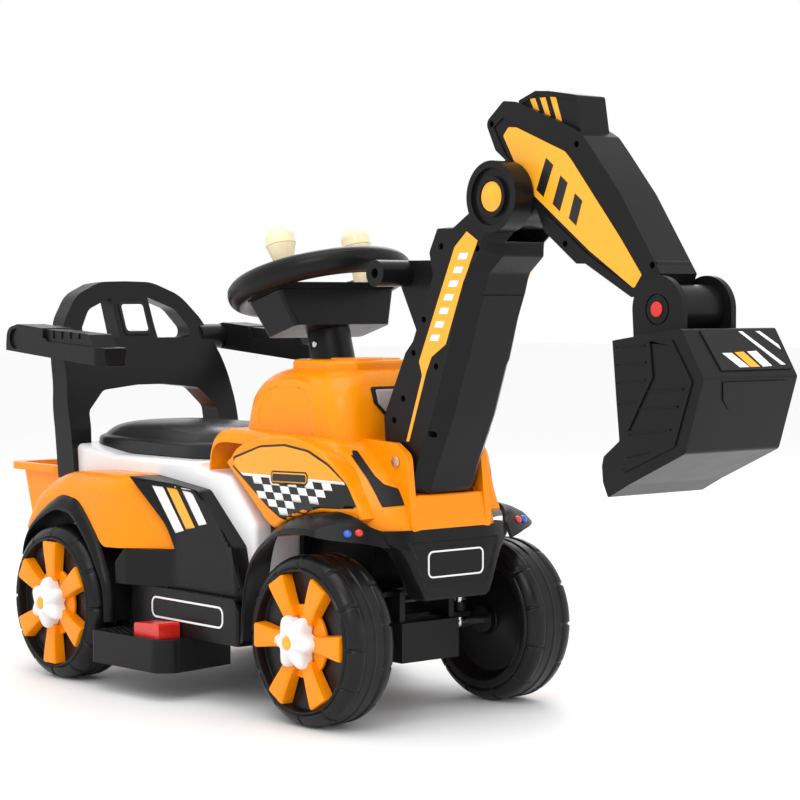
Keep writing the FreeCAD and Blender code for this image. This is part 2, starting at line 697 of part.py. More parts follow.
def make_steps():
    """Step block and footrest on each side; the right one holds the accelerator pedal's well."""
    wall = dim.wall
    block_plan = [(101, -84.2), (101, -150, 18), (325, -150, 5), (325, -84.2)]
    inner_plan = [(104, -84), (104, -147, 15), (322, -147, 4), (322, -84)]
    side = [(101, 71), (101, 123.5, 4), (318, 123.5), (325, 110), (325, 71)]
    block = plan_prism(block_plan, 71, 124).common(side_prism(side, -151, -84))
    block = block.cut(plan_prism(inner_plan, 70, 121))
    board_plan = [(98, -84.2), (98, -197, 6), (240, -190, 24), (222, -84.2)]
    inner_board = [(101, -84), (101, -194, 5), (237, -187, 21), (219, -84)]
    board = plan_prism(board_plan, 33, 72).cut(plan_prism(inner_board, 32, 68))
    board = board.cut(box(97, 245, -200, -150, 71, 73))
    left = mirror_y(block.fuse(board))
    right = block.fuse(board)
    well = box(PEDAL_X[0] - 4.5, PEDAL_X[1] + 5.5, PEDAL_Y[0] - 5, PEDAL_Y[1] + 4.5, WELL_FLOOR - 2, 70)
    room = box(PEDAL_X[0] - 2, PEDAL_X[1] + 3, PEDAL_Y[0] - 1.5, PEDAL_Y[1] + 1.5, WELL_FLOOR, 90)
    pin_bore = cross_rod(PEDAL_HINGE[0], PEDAL_HINGE[1], 2.05, PEDAL_Y[0] - 4, PEDAL_Y[1] + 4)
    right = right.fuse(well).cut(room).cut(pin_bore)
    feature("steps", Part.makeCompound([right, left]))


def make_pedal():
    """Pedal block on its hinge pin, the coil spring under it and the switch at the end of its travel."""
    x_low, x_high = PEDAL_X
    middle_y = (PEDAL_Y[0] + PEDAL_Y[1]) / 2
    spring_x, spring_top = 198, 66.9
    wedge = [(x_low, 62), (x_low, 85, 3), (x_high, 88, 3), (x_high, 65), (x_low + 12, 62)]
    pedal = side_prism(wedge, PEDAL_Y[0], PEDAL_Y[1])
    under = side_prism([(x_low + 10, 58), (x_low + 10, 81), (x_high - 3, 83), (x_high - 3, 58)],
                       PEDAL_Y[0] + 3, PEDAL_Y[1] - 3)
    pin = cross_rod(PEDAL_HINGE[0], PEDAL_HINGE[1], 2, PEDAL_Y[0] - 3.5, PEDAL_Y[1] + 3.5)
    collar = Part.makeCylinder(6.5, 84 - spring_top, Vector(spring_x, middle_y, spring_top))
    spigot = Part.makeCylinder(3, 4, Vector(spring_x, middle_y, spring_top - 3))
    feature("accelerator_pedal", pedal.cut(under).multiFuse([pin, collar, spigot]))

    wire_radius, coil_radius = 0.8, 5.5
    coil = Part.makeHelix(3.2, spring_top - WELL_FLOOR - 2 * wire_radius - 0.1, coil_radius)
    section = Part.Wire([Part.Circle(Vector(coil_radius, 0, 0), Vector(0, 1, 0), wire_radius).toShape()])
    spring = Part.Wire(coil.Edges).makePipeShell([section], True, True)
    spring.translate(Vector(spring_x, middle_y, WELL_FLOOR + wire_radius))
    feature("pedal_spring", spring)

    switch = new_body("foot_switch", "211", f"{middle_y}", str(WELL_FLOOR))
    pad(switch, new_sketch(switch, "XY_Plane", [rectangle(-5, 6, -3, 3, 1)]), "2.3")
    button = circle_sketch(switch, "XY_Plane", [(3.5, 0, 1.5)], 2)
    pad(switch, button, "1.5")


# ------------------------------------------------------------------ front fender, hood and cowl
def make_front_fender():
    """Black front moulding: an arch over each wheel running into the bumper."""
    lip = [(341, 78), (349, 151, 30), (378, 184, 20), (412, 206, 30), (455, 213, 20), (480, 208)]
    lip_under = [(478, 203.5), (455, 208.5, 20), (414, 201.5, 30), (382, 180.5, 20), (354, 149, 30),
                 (346, 78)]
    root = [(321, 78), (323, 160, 30), (346, 206, 20), (406, 226, 30), (453, 231, 20), (503, 224)]
    root_under = [(501, 219.5), (453, 226.5, 20), (408, 221.5, 30), (350, 202, 20), (328, 158, 30),
                  (326, 78)]
    arch = side_loft([(-160, lip + lip_under), (-110, root + root_under)])
    wing = side_loft([(-157, [(455, 208.6), (455, 213), (480, 207.9), (478, 203.6)]),
                      (-100, [(470, 205), (470, 228.5), (509, 222), (514, 198)])])
    half = [(0, 134), (53, 134), (68, 160, 20), (86, 192, 10), (104, 199), (104, 222, 6), (0, 222)]
    bumper = front_prism(mirrored_outline(half), 460, 530)
    plan = [(460, -105), (505, -105, 8), (519, -80, 20), (524, -50, 20), (524, 50, 20), (519, 80, 20),
            (505, 105, 8), (460, 105)]
    bumper = bumper.common(plan_prism(plan, 130, 225))
    rake = [(455, 130), (524, 130), (524, 190, 30), (517, 209), (512, 225), (455, 225)]
    bumper = bumper.common(side_prism(rake, -110, 110))
    inner_plan = [(459, -110), (502, -110), (516, -79, 20), (520.5, -49, 20), (520.5, 49, 20), (516, 79, 20),
                  (502, 110), (459, 110)]
    inside = front_prism([(-50.5, 137), (50.5, 137), (65, 160), (83, 190), (101, 200), (101, 219),
                          (-101, 219),
                          (-101, 200), (-83, 190), (-65, 160)], 459, 530)
    inside = inside.common(plan_prism(inner_plan, 130, 225))
    inner_rake = [(455, 130), (520.5, 130), (520.5, 189, 30), (513.5, 208), (508.5, 225), (455, 225)]
    inside = inside.common(side_prism(inner_rake, -110, 110))
    bumper = bumper.cut(inside).cut(box(455, 500, -44, 44, 130, 141))
    trim = arch.fuse(wing).cut(box(440, 520, -103, 0, 190, 235))
    pieces = bumper.multiFuse([trim, mirror_y(trim)])
    plate_recess = front_prism(rectangle(-41, 41, 157, 187.5, 7), 522.6, 526)
    pieces = pieces.cut(plate_recess)
    return pieces


def hood_sections(wall):
    """(x, half outline) stations of the hood, drawn in by the wall."""
    stations = [
        (206, 108, 268, 104, 284, 78, 303, 40, 311, 312),
        (262, 122, 262, 117, 285, 92, 304, 46, 309, 311),
        (310, 124, 236, 121, 264, 100, 299, 56, 306, 308),
        (371, 123, 208, 120, 243, 105, 286, 66, 304, 306),
        (430, 124, 213, 118, 246, 95, 280, 63, 303, 305),
        (470, 116, 213, 107, 246, 84, 279, 60, 302, 304),
        (500, 96, 210, 87, 240, 70, 270, 56, 294, 296),
        (516, 76, 209, 66, 232, 56, 250, 50, 262, 264),
    ]
    sections = []
    for x, y1, z1, y2, z2, y3, z3, y4, z4, top in stations:
        sections.append((x, [(y1 - wall, z1), (y2 - wall, z2), (y3 - wall, z3 - wall),
                             (y4 - wall / 2, z4 - wall), (0, top - wall)]))
    return sections


def hood_solid(wall):
    closed = []
    for x, half in hood_sections(wall):
        closed.append((x, [(0, half[0][1])] + half))
    wires = []
    for x, half in closed:
        ring = [p for p in half[1:]] + [(-p[0], p[1]) for p in reversed(half[1:-1])]
        wires.append(wire(ring, FACING, Vector(x, 0, 0)))
    return Part.makeLoft(wires, True, True)


SLOT = {"half": 49.5, "floor": 236, "back": 440}


def cowl_solid(wall):
    """Dome over the steering shaft, as stacked rounded rectangles."""
    levels = [(284, 245, 435, 90.5, 26), (330, 249, 430, 88, 28), (352, 254, 425, 86, 30),
              (366, 264, 418, 82, 30),
              (380, 282, 411, 74, 30), (391, 304, 403, 62, 28)]
    sections = []
    for z, x_low, x_high, half, radius in levels:
        sections.append((z - (wall if z > 300 else 1), rectangle(
            x_low + wall, x_high - wall, -half + wall, half - wall, radius - wall)))
    return plan_loft(sections)


def make_hood_and_cowl(fender):
    wall = dim.wall
    outer = hood_solid(0)
    hood = outer.cut(hood_solid(wall))
    half, floor, back = SLOT["half"], SLOT["floor"], SLOT["back"]
    liner = box(back - wall, 516, -half - wall, half + wall, floor - wall, 320).common(outer)
    slot = box(back, 530, -half, half, floor, 320)
    lip = front_prism([(-half, floor), (half, floor), (half, 247), (-half, 247)], 511, 517).common(outer)
    nose = outer.common(box(513.4, 517, -90, 90, 200, 262))
    hood = hood.multiFuse([liner, nose]).cut(slot).fuse(lip)
    hood = hood.cut(box(206 - 1, 470, -95, 95, 200, 262))
    cowl_outer = cowl_solid(0)
    hood = hood.cut(cowl_outer)
    pivot = cross_rod(dim.boom_pivot_x, dim.boom_pivot_z, 5, -70, 70)
    head = cross_rod(dim.boom_pivot_x, dim.boom_pivot_z, 6.5, 58, 80)
    hood = hood.cut(head).cut(mirror_y(head))
    hood = hood.cut(pivot)
    fender_clear = fender.cut(outer)
    feature("hood", hood)
    feature("front_fender", fender_clear)

    cowl = cowl_outer.cut(cowl_solid(wall)).cut(box(240, 440, -100, 100, 280, 287))
    hole = on_column(Part.makeCylinder(dim.column_radius + 1, 90, Vector(0, 0, -60)))
    rocker_hole = box(240, 262, -8, 8, ROCKER_Z - 9.2, ROCKER_Z + 9.2)
    feature("cowl", cowl.cut(hole).cut(rocker_hole))

    pin = doc.addObject("Part::Cylinder", "boom_pivot_rod")
    pin.Radius = 5
    bind(pin, Height="2 * 58")
    pin.Placement = Placement(Vector(dim.boom_pivot_x, -58, dim.boom_pivot_z), OUTBOARD_LEFT)
    heads = []
    for index, sign in enumerate((-1, 1)):
        head = doc.addObject("Part::Cylinder", f"boom_pivot_head_{index}")
        head.Radius = 6.3
        head.Height = 3
        head.Placement = Placement(Vector(dim.boom_pivot_x, sign * 58, dim.boom_pivot_z),
                                   OUTBOARD_LEFT if sign > 0 else OUTBOARD_RIGHT)
        heads.append(head)
    rod = doc.addObject("Part::MultiFuse", "boom_pivot_pin")
    rod.Shapes = [pin] + heads
    bind(rod, Placement__Base__x="-dims.frame_origin_x")
    keep(rod)


ROCKER_Z = 331
ROCKER_X = 257


def make_rocker():
    """Forward, stop and reverse rocker in the cowl's rear face, turning on two small pins."""
    barrel = cross_rod(ROCKER_X, ROCKER_Z, 8.7, -7.4, 7.4)
    body = barrel.common(box(ROCKER_X - 9, ROCKER_X + 4, -8, 8, ROCKER_Z - 9, ROCKER_Z + 9))
    feature("direction_rocker", body.fuse(cross_rod(ROCKER_X, ROCKER_Z, 2, -9.5, 9.5)))


def make_lamps():
    """Round lenses standing out of the wings: red inboard and blue outboard."""
    for label, x, y, z in (("lamp_lenses_red", 490.6, 114.4, 212), ("lamp_lenses_blue", 488, 126.6, 211)):
        lenses = []
        for index, sign in enumerate((-1, 1)):
            ball = doc.addObject("Part::Sphere", f"{label}_{index}")
            ball.Radius = 4.6
            ball.Placement = Placement(Vector(x, sign * y, z), Rotation())
            lenses.append(ball)
        pair = doc.addObject("Part::Compound", label)
        pair.Links = lenses
        bind(pair, Placement__Base__x="-dims.frame_origin_x")
        keep(pair)


# ------------------------------------------------------------------ seat, backrest, armrests, tub
def make_seat():
    outer = plan_loft([
        (271, rectangle(-84, 205, -92, 92, 62)), (286, rectangle(-80, 203, -90, 90, 60)),
        (300, rectangle(-68, 194, -79, 79, 56)), (306, rectangle(-52, 178, -63, 63, 48)),
        (309, rectangle(-20, 148, -38, 38, 30))])
    inner = plan_loft([
        (270, rectangle(-80, 201, -88, 88, 58)), (286, rectangle(-76, 199, -86, 86, 56)),
        (298, rectangle(-64, 190, -75, 75, 52)), (304, rectangle(-48, 174, -59, 59, 44))])
    feature("seat", outer.cut(inner))


def make_backrest():
    """Leaning arch panel on two legs, with a lower opening and two windows beside a centre post."""
    lean = [(-45, 236), (-50, 300, 60), (-66, 362, 120), (-97, 425, 200), (-120, 483), (-146, 478),
            (-124, 425, 200),
            (-95, 350, 120), (-87, 300, 60), (-84, 236)]
    arch = [(126, 236), (130, 320, 200), (121, 385, 90), (106, 432, 50), (80, 464, 50), (40, 481, 60),
            (0, 482)]
    outline = front_prism(mirrored_outline(arch), -160, -30)
    panel = side_prism(lean, -135, 135).common(outline)
    opening = mirrored_outline([(101, 230), (98.5, 319, 12), (73, 344.5, 14), (20, 350)])
    panel = panel.cut(front_prism(opening, -160, -30))
    for sign in (-1, 1):
        window = [(29 * sign, 409), (79 * sign, 409, 8), (84 * sign, 420, 10), (66 * sign, 446, 20),
                  (28 * sign, 461)]
        panel = panel.cut(front_prism(window, -160, -60))
    boss = cross_rod(dim.armrest_pivot_x, dim.armrest_pivot_z, 16, 100, dim.armrest_inner - 0.4)
    stem = cross_rod(dim.armrest_pivot_x, dim.armrest_pivot_z, 8, 100, dim.armrest_outer - 6)
    cap = cross_rod(dim.armrest_pivot_x, dim.armrest_pivot_z, 12, dim.armrest_outer - 6, dim.armrest_outer - 3)
    hinge = boss.multiFuse([stem, cap])
    feature("backrest", panel.multiFuse([hinge, mirror_y(hinge)]))


def make_armrests():
    inner, outer = dim.armrest_inner, dim.armrest_outer
    x, z = dim.armrest_pivot_x, dim.armrest_pivot_z
    side = [(-125, 395.5, 2), (-121, 423, 14), (-96, 428, 10), (-40, 423.5), (-30, 407.5, 6), (88, 401, 2),
            (90, 379, 2)]
    plan = [(-126, inner), (90, inner, 4), (90, outer, 15), (-126, outer, 3)]
    bar = side_prism(side, inner, outer).common(plan_prism(plan, 370, 440))
    pad_side = [(-44, 402), (-44, 422.5, 3), (60, 417, 3), (74, 400)]
    pad_block = side_prism(pad_side, inner + 3, outer - 3)
    cells = [box(-38 + step * 19, -22 + step * 19, outer - 4.5, outer, 411, 430) for step in range(5)]
    arm = bar.fuse(pad_block)
    hollow = side_prism([(-78, 383), (-78, 403, 3), (-40, 404, 3), (84, 396, 3),
                         (85, 371)], inner + 3, outer - 3)
    arm = arm.cut(hollow)
    arm = arm.cut(cells)
    arm = arm.cut(cross_rod(x, z, 8 + dim.running_gap, inner - 1, outer + 1))
    arm = arm.cut(cross_rod(x, z, 12.5, outer - 6.3, outer + 1))
    feature("armrest_left", arm)
    feature("armrest_right", mirror_y(arm))


def make_tub():
    wall = 2.4
    body = plan_loft([(174, rectangle(-190, -100, -104, 104, 14)),
                      (248, rectangle(-201, -96, -111, 111, 14))])
    room = plan_loft([(174 + wall, rectangle(-188, -102, -102, 102, 12)),
                      (250, rectangle(-199, -98, -109, 109, 12))])
    rim = plan_prism(rectangle(-212, -94, -120, 120, 14), 240, 249)
    gutter = plan_prism(rectangle(-209.5, -93, -117.5, 117.5, 12), 239, 246.5)
    tub = body.fuse(rim.cut(gutter)).cut(room)
    feature("rear_tub", tub)


# ------------------------------------------------------------------ digging arm
BOOM_SIDE = [
    (478, 247, 12), (512, 248, 10), (525, 279, 20), (551, 333), (570.5, 388), (574, 392), (588, 437),
    (600, 466),
    (606, 486, 10),
    (628, 504, 4), (628, 518, 4), (652, 536), (668, 552), (610, 592), (597, 552), (566, 536, 3),
    (541, 536, 3),
    (527, 509, 6), (533, 484, 6), (500, 413), (489, 401), (453, 330, 8), (456, 296, 14),
]
BOOM_EDGE = [
    (478, 249, 12), (502, 250, 10), (511, 282, 20), (536, 336), (555, 390), (558, 394), (571, 438),
    (583, 470),
    (589, 490, 10),
    (610, 508, 4), (612, 522, 4), (640, 540), (652, 556), (610, 590), (598, 552), (568, 534, 3),
    (543, 534, 3),
    (530, 509, 6), (536, 484, 6), (503, 413), (491, 401), (455, 330, 8), (458, 296, 14),
]


def boom_half(wall):
    """Left half of the boom: flat at the seam, with bevelled front edges towards the side plane."""
    edge, face = dim.boom_half_width, dim.boom_face_half
    inner = side_prism(BOOM_SIDE, 0, face)
    outer = side_loft([(face, BOOM_SIDE), (edge, BOOM_EDGE)])
    skin = inner.fuse(outer)
    skin = skin.cut(side_prism([(597.3, 463), (612, 460), (612, 466), (599.3, 468)], -1, face + 1))
    shell = skin.cut(hollow_side_prism(BOOM_EDGE, -1, edge - wall, wall))
    shell = shell.cut(hollow_side_prism(BOOM_SIDE, -1, face - wall, wall))
    x, z = dim.elbow_x, dim.elbow_z
    boss = cross_rod(x, z, dim.elbow_boss_radius, dim.stick_half_width + 1, 53)
    web = side_prism([(541, 530), (560, 505), (612, 505), (640, 540),
                      (600, 560)], dim.stick_half_width + 1, face)
    shell = shell.fuse(boss).fuse(web)
    clearance = cross_rod(x, z, 46, -1, dim.stick_half_width + 1)
    shell = shell.cut(clearance)
    ring = cross_ring(x, z, 30, 21, 49, 54)
    shell = shell.cut(ring).cut(cross_rod(x, z, 8, 0, 60)).cut(cross_rod(x, z, 16.4, 48, 60))
    hub_x, hub_z = dim.boom_pivot_x, dim.boom_pivot_z
    shell = shell.fuse(cross_rod(hub_x, hub_z, 12, 0, edge))
    shell = shell.cut(cross_rod(hub_x, hub_z, 5 + dim.running_gap, -1, edge + 1))
    for hole_x, hole_z in BOOM_SCREWS:
        post = cross_rod(hole_x, hole_z, 6, 0, edge).common(skin)
        shell = shell.fuse(post).cut(cross_rod(hole_x, hole_z, 3.6, 8, edge + 1))
    return shell


BOOM_SCREWS = [(530, 314), (541, 387), (606, 512), (521, 437), (504, 401), (487, 351), (472, 327),
               (549, 515)]


def make_boom():
    wall = dim.wall
    left = boom_half(wall)
    feature("boom_shell_left", left)
    feature("boom_shell_right", mirror_y(left))

    bar = new_body("boom_handle", "dims.handle_x", "0", "dims.handle_z")
    grip = circle_sketch(bar, "XZ_Plane", [(0, 0, dim.handle_diameter / 2)])
    pad(bar, grip, "dims.handle_length", symmetric=True)
    gusset = [(-13, -4), (4, 14), (60, 14), (60.5, -3), (29, -72), (26, -76)]
    brace = new_sketch(bar, "XZ_Plane", [gusset])
    pad(bar, brace, "56", symmetric=True)
    lightening = new_sketch(bar, "XZ_Plane", [[(14, 6), (52, 6), (52, -6), (29, -56)]])
    pocket(bar, lightening, "50", symmetric=True)
    bore = circle_sketch(bar, "XZ_Plane", [(0, 0, 5.5)])
    pocket(bar, bore, "dims.handle_length + 2", symmetric=True)


def elbow_pin_half():
    """Half of the snap-in elbow pin with its domed amber head."""
    x, z = dim.elbow_x, dim.elbow_z
    pin = cross_rod(x, z, 7.95, 0.1, 50)
    head = cross_rod(x, z, 16, 48.2, 52)
    dome = Part.makeSphere(30, Vector(x, 55 - 30, z)).common(cross_rod(x, z, 16, 51, 58))
    return pin.multiFuse([head, dome])


STICK_SIDE = [
    (628, 603), (612, 614.5, 4), (597, 644, 8), (624, 665, 6), (643, 663), (726, 631.5), (741, 623, 6),
    (756, 606.5, 10), (793, 563.6), (848, 484), (838, 462), (808.5, 461), (745, 494.5, 3),
    (732, 494.8, 3), (686, 528), (673, 553, 4),
]
STICK_RECESS = [
    (609, 638), (623, 648, 4), (714, 615, 6), (726, 607, 6), (793, 526.5), (825, 486), (812, 469, 4),
    (749, 503),
    (668, 560, 8), (655, 577, 6), (646, 595), (628, 608),
]
STICK_BOX = [(641, 655), (641, 664.5, 3), (666, 673, 4), (686, 671.5, 3), (726, 665, 4), (733, 625)]


def stick_half(wall):
    half = dim.stick_half_width
    x, z = dim.elbow_x, dim.elbow_z
    tip_x, tip_z = dim.bucket_pivot_x, dim.bucket_pivot_z
    shell = side_prism(STICK_SIDE, 0, half).cut(hollow_side_prism(STICK_SIDE, -1, half - wall, wall))
    crest = side_prism(STICK_BOX, 0, 20.5).cut(side_prism(STICK_SIDE, -1, 30))
    crest = crest.cut(side_prism([(646, 640), (646, 661), (667, 668.5, 3), (722, 661, 3),
                                  (728, 625)], 19.3, 21))
    shell = shell.fuse(crest)
    neck = side_prism([(608, 592), (628, 604), (673, 552), (655, 540)], 0, half)
    neck = neck.cut(side_prism([(615, 590), (629, 600), (668, 553), (654, 545)], -1, half - wall))
    shell = shell.multiFuse([neck, cross_rod(x, z, 33, 0, half)])
    shell = shell.cut(cross_rod(x, z, 30, -1, half - wall)).fuse(cross_rod(x, z, 12, 0, half))
    shell = shell.cut(cross_rod(x, z, 8 + dim.running_gap, -1, half + 1))
    shell = shell.cut(cross_rod(tip_x, tip_z, 24, -1, half + 1)).fuse(cross_rod(tip_x, tip_z, 24, 0, 31))
    shell = shell.cut(cross_rod(tip_x, tip_z, 21, -1, 28)).fuse(cross_rod(tip_x, tip_z, 9, 0, 31))
    shell = shell.cut(cross_rod(tip_x, tip_z, 6 + dim.running_gap, -1, 32))
    for hole_x, hole_z in STICK_SCREWS:
        shell = shell.fuse(cross_rod(hole_x, hole_z, 5.5, 0, half - 1.5))
        shell = shell.cut(cross_rod(hole_x, hole_z, 3.4, 6, half + 1))
    return shell.cut(side_prism(STICK_RECESS, half - 1.5, half + 1))


STICK_SCREWS = [(606, 642), (731.7, 614.8), (836.6, 492), (716, 515)]


def make_stick():
    left = stick_half(dim.wall)
    feature("stick_shell_left", left)
    feature("stick_shell_right", mirror_y(left))
    feature("elbow_pins", both_sides(elbow_pin_half()))


BUCKET_SIDE = [
    (823, 419), (877, 427, 4), (913, 431.6, 4), (941.6, 385, 5), (919, 314, 6), (845, 280, 4), (818, 266, 2),
    (811, 281), (809.6, 297), (812, 306, 3), (833, 322, 3), (829, 358),
]
BUCKET_ROOM = [
    (790, 414), (823, 415), (877, 423.5, 3), (911, 427.5, 3), (937.3, 385, 4), (915.5, 317, 4),
    (843, 284, 3),
    (815, 270), (790, 262),
]


def make_bucket():
    half = dim.bucket_half_width
    x, z = dim.bucket_pivot_x, dim.bucket_pivot_z
    scoop = side_prism(BUCKET_SIDE, -half, half).cut(side_prism(BUCKET_ROOM, -half + 3, half - 3))
    for index in range(3):
        middle = -33 + 33 * index
        gap = plan_prism([(800, middle - 9), (818, middle - 7, 2), (818, middle + 7, 2),
                          (800, middle + 9)], 255, 290)
        scoop = scoop.cut(gap)
    ears = []
    for sign in (-1, 1):
        low, high = sorted((sign * 31.5, sign * 38.5))
        ear = cross_rod(x, z, dim.bucket_ear_radius, low, high)
        ear = ear.fuse(side_prism([(x - 33, z), (x - 31, 418), (x + 33, 423), (x + 33, z)], low, high))
        ear = ear.cut(side_prism([(800, 400)] + BUCKET_ROOM[1:4] + [(940, 400)], -60, 60))
        face_low, face_high = sorted((sign * 36.5, sign * 39))
        ear = ear.cut(cross_ring(x, z, 15.5, 14, face_low, face_high))
        ears.append(ear)
    bucket = scoop.multiFuse(ears)
    bucket = bucket.cut(cross_rod(x, z, 6, -40, 40)).cut(cross_rod(x, z, 25, -31.5, 31.5))
    feature("bucket", bucket)

    pin = cross_rod(x, z, 5.95, 0.1, 39).fuse(cross_rod(x, z, 7.5, 38.6, 40))
    feature("bucket_pins", both_sides(pin))


def relieve(label, *others):
    """Cuts the seats that neighbouring pieces need out of a moulding."""
    obj = doc.getObject(label)
    cleared = obj.Shape.cut([doc.getObject(other).Shape for other in others])
    solids = cleared.Solids
    obj.Shape = solids[0] if len(solids) == 1 else Part.makeCompound(solids)


# ------------------------------------------------------------------ assembly
make_underframe()
make_body_shell()
make_rear_fenders()
make_steps()
make_pedal()
make_hood_and_cowl(make_front_fender())
make_rocker()
make_lamps()
make_seat()
make_backrest()
make_armrests()
make_tub()
make_rear_axle()
make_front_beam()
make_drive()
make_wheels()
make_linkage()
make_steering()
make_boom()
make_stick()
make_bucket()
doc.recompute()
relieve("body_shell", "backrest", "seat", "underframe")
relieve("rear_arches", "steps")
relieve("rear_fender_right", "rear_arches")
relieve("rear_fender_left", "rear_arches")
relieve("backrest", "rear_fender_right", "rear_fender_left")
relieve("front_fender", "lamp_lenses_red", "lamp_lenses_blue", "steps", "front_beam")
relieve("boom_shell_left", "boom_handle")
relieve("boom_shell_right", "boom_handle")
relieve("steering_column", "column_screw")
doc.recompute()

for item in doc.Objects:
    for state in item.State:
        if state in ("Invalid", "Error"):
            raise SystemExit(f"{item.Label}: {state}")
for node in nodes:
    if node.Shape.isNull() or not node.Shape.isValid() or not node.Shape.Solids:
        raise SystemExit(f"{node.Label}: bad shape")

os.makedirs("parts", exist_ok=True)
for node in nodes:
    node.Shape.exportStep(f"parts/{node.Label}.step")
print(len(nodes), "nodes written")
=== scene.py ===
"""Visual model of the ride-on toy digger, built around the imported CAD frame."""
import json
from math import atan2, ceil, copysign, cos, degrees, dist, exp, hypot, pi, radians, sin, sqrt, tan

import bmesh
import bpy
from mathutils import Matrix, Vector
from mathutils.bvhtree import BVHTree


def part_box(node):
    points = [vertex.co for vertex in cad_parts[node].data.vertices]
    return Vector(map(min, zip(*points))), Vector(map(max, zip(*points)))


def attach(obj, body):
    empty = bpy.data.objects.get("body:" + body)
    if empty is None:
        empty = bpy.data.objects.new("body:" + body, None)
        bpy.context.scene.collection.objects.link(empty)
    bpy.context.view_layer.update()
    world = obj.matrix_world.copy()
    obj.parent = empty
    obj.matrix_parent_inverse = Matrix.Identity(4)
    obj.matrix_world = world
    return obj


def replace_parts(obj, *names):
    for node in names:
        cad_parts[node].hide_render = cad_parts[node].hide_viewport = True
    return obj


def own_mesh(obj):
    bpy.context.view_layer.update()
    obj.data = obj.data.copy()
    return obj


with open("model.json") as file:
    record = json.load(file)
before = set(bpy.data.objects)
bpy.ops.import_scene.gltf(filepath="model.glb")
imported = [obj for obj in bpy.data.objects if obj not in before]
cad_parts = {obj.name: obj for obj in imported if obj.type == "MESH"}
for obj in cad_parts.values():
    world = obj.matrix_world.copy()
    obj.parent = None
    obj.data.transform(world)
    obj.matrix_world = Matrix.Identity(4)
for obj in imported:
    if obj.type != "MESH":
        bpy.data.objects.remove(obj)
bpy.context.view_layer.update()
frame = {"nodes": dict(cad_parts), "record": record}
NODES = frame["nodes"]
MM = 0.001


def middle(node):
    low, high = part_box(node)
    return [(low[i] + high[i]) / 2 / MM for i in range(3)]


AXLE_X = middle("rear_axle")[0]


def at(x, y, z):
    """Point given in millimetres from the rear axle and the ground, as metres in the frame."""
    return Vector(((x + AXLE_X) * MM, y * MM, z * MM))


# ------------------------------------------------------------------ materials
def shader(name):
    material = bpy.data.materials.new(name)
    material.use_nodes = True
    return material, material.node_tree.nodes, material.node_tree.links


def add_node(nodes, kind, **values):
    node = nodes.new(kind)
    for key, value in values.items():
        if key in node.inputs:
            node.inputs[key].default_value = value
        else:
            setattr(node, key, value)
    return node


def tinted(colour, factor):
    return tuple(min(1, channel * factor) for channel in colour) + (1,)


def plastic(name, colour, rough, coat=0.0, grain=1400, depth=0.05, variation=0.05, scuff=0.06,
            shine=0.38):
    """Moulded plastic: faint tone drift, fine mould grain in the bump and uneven gloss."""
    material, nodes, links = shader(name)
    surface = nodes["Principled BSDF"]
    surface.inputs["Coat Weight"].default_value = coat
    surface.inputs["Coat Roughness"].default_value = 0.08
    surface.inputs["Specular IOR Level"].default_value = shine
    place = add_node(nodes, "ShaderNodeTexCoord")
    drift = add_node(nodes, "ShaderNodeTexNoise", Scale=9, Detail=3)
    ramp = add_node(nodes, "ShaderNodeValToRGB")
    ramp.color_ramp.elements[0].position = 0.3
    ramp.color_ramp.elements[1].position = 0.7
    ramp.color_ramp.elements[0].color = tinted(colour, 1 - variation)
    ramp.color_ramp.elements[1].color = tinted(colour, 1 + variation)
    wear = add_node(nodes, "ShaderNodeTexNoise", Scale=38, Detail=5, Roughness=0.6)
    gloss = add_node(nodes, "ShaderNodeMapRange")
    gloss.inputs["To Min"].default_value = max(0.02, rough - scuff)
    gloss.inputs["To Max"].default_value = rough + scuff
    fine = add_node(nodes, "ShaderNodeTexNoise", Scale=grain, Detail=2)
    bump = add_node(nodes, "ShaderNodeBump", Strength=depth, Distance=0.0004)
    for source, output, target, value in (
            (place, "Object", drift, "Vector"), (drift, "Fac", ramp, "Fac"),
            (ramp, "Color", surface, "Base Color"), (place, "Object", wear, "Vector"),
            (wear, "Fac", gloss, "Value"), (gloss, "Result", surface, "Roughness"),
            (place, "Object", fine, "Vector"), (fine, "Fac", bump, "Height"),
            (bump, "Normal", surface, "Normal")):
        links.new(source.outputs[output], target.inputs[value])
    return material


def metal(name, colour, rough):
    material = plastic(name, colour, rough, grain=2200, depth=0.04)
    material.node_tree.nodes["Principled BSDF"].inputs["Metallic"].default_value = 1.0
    return material


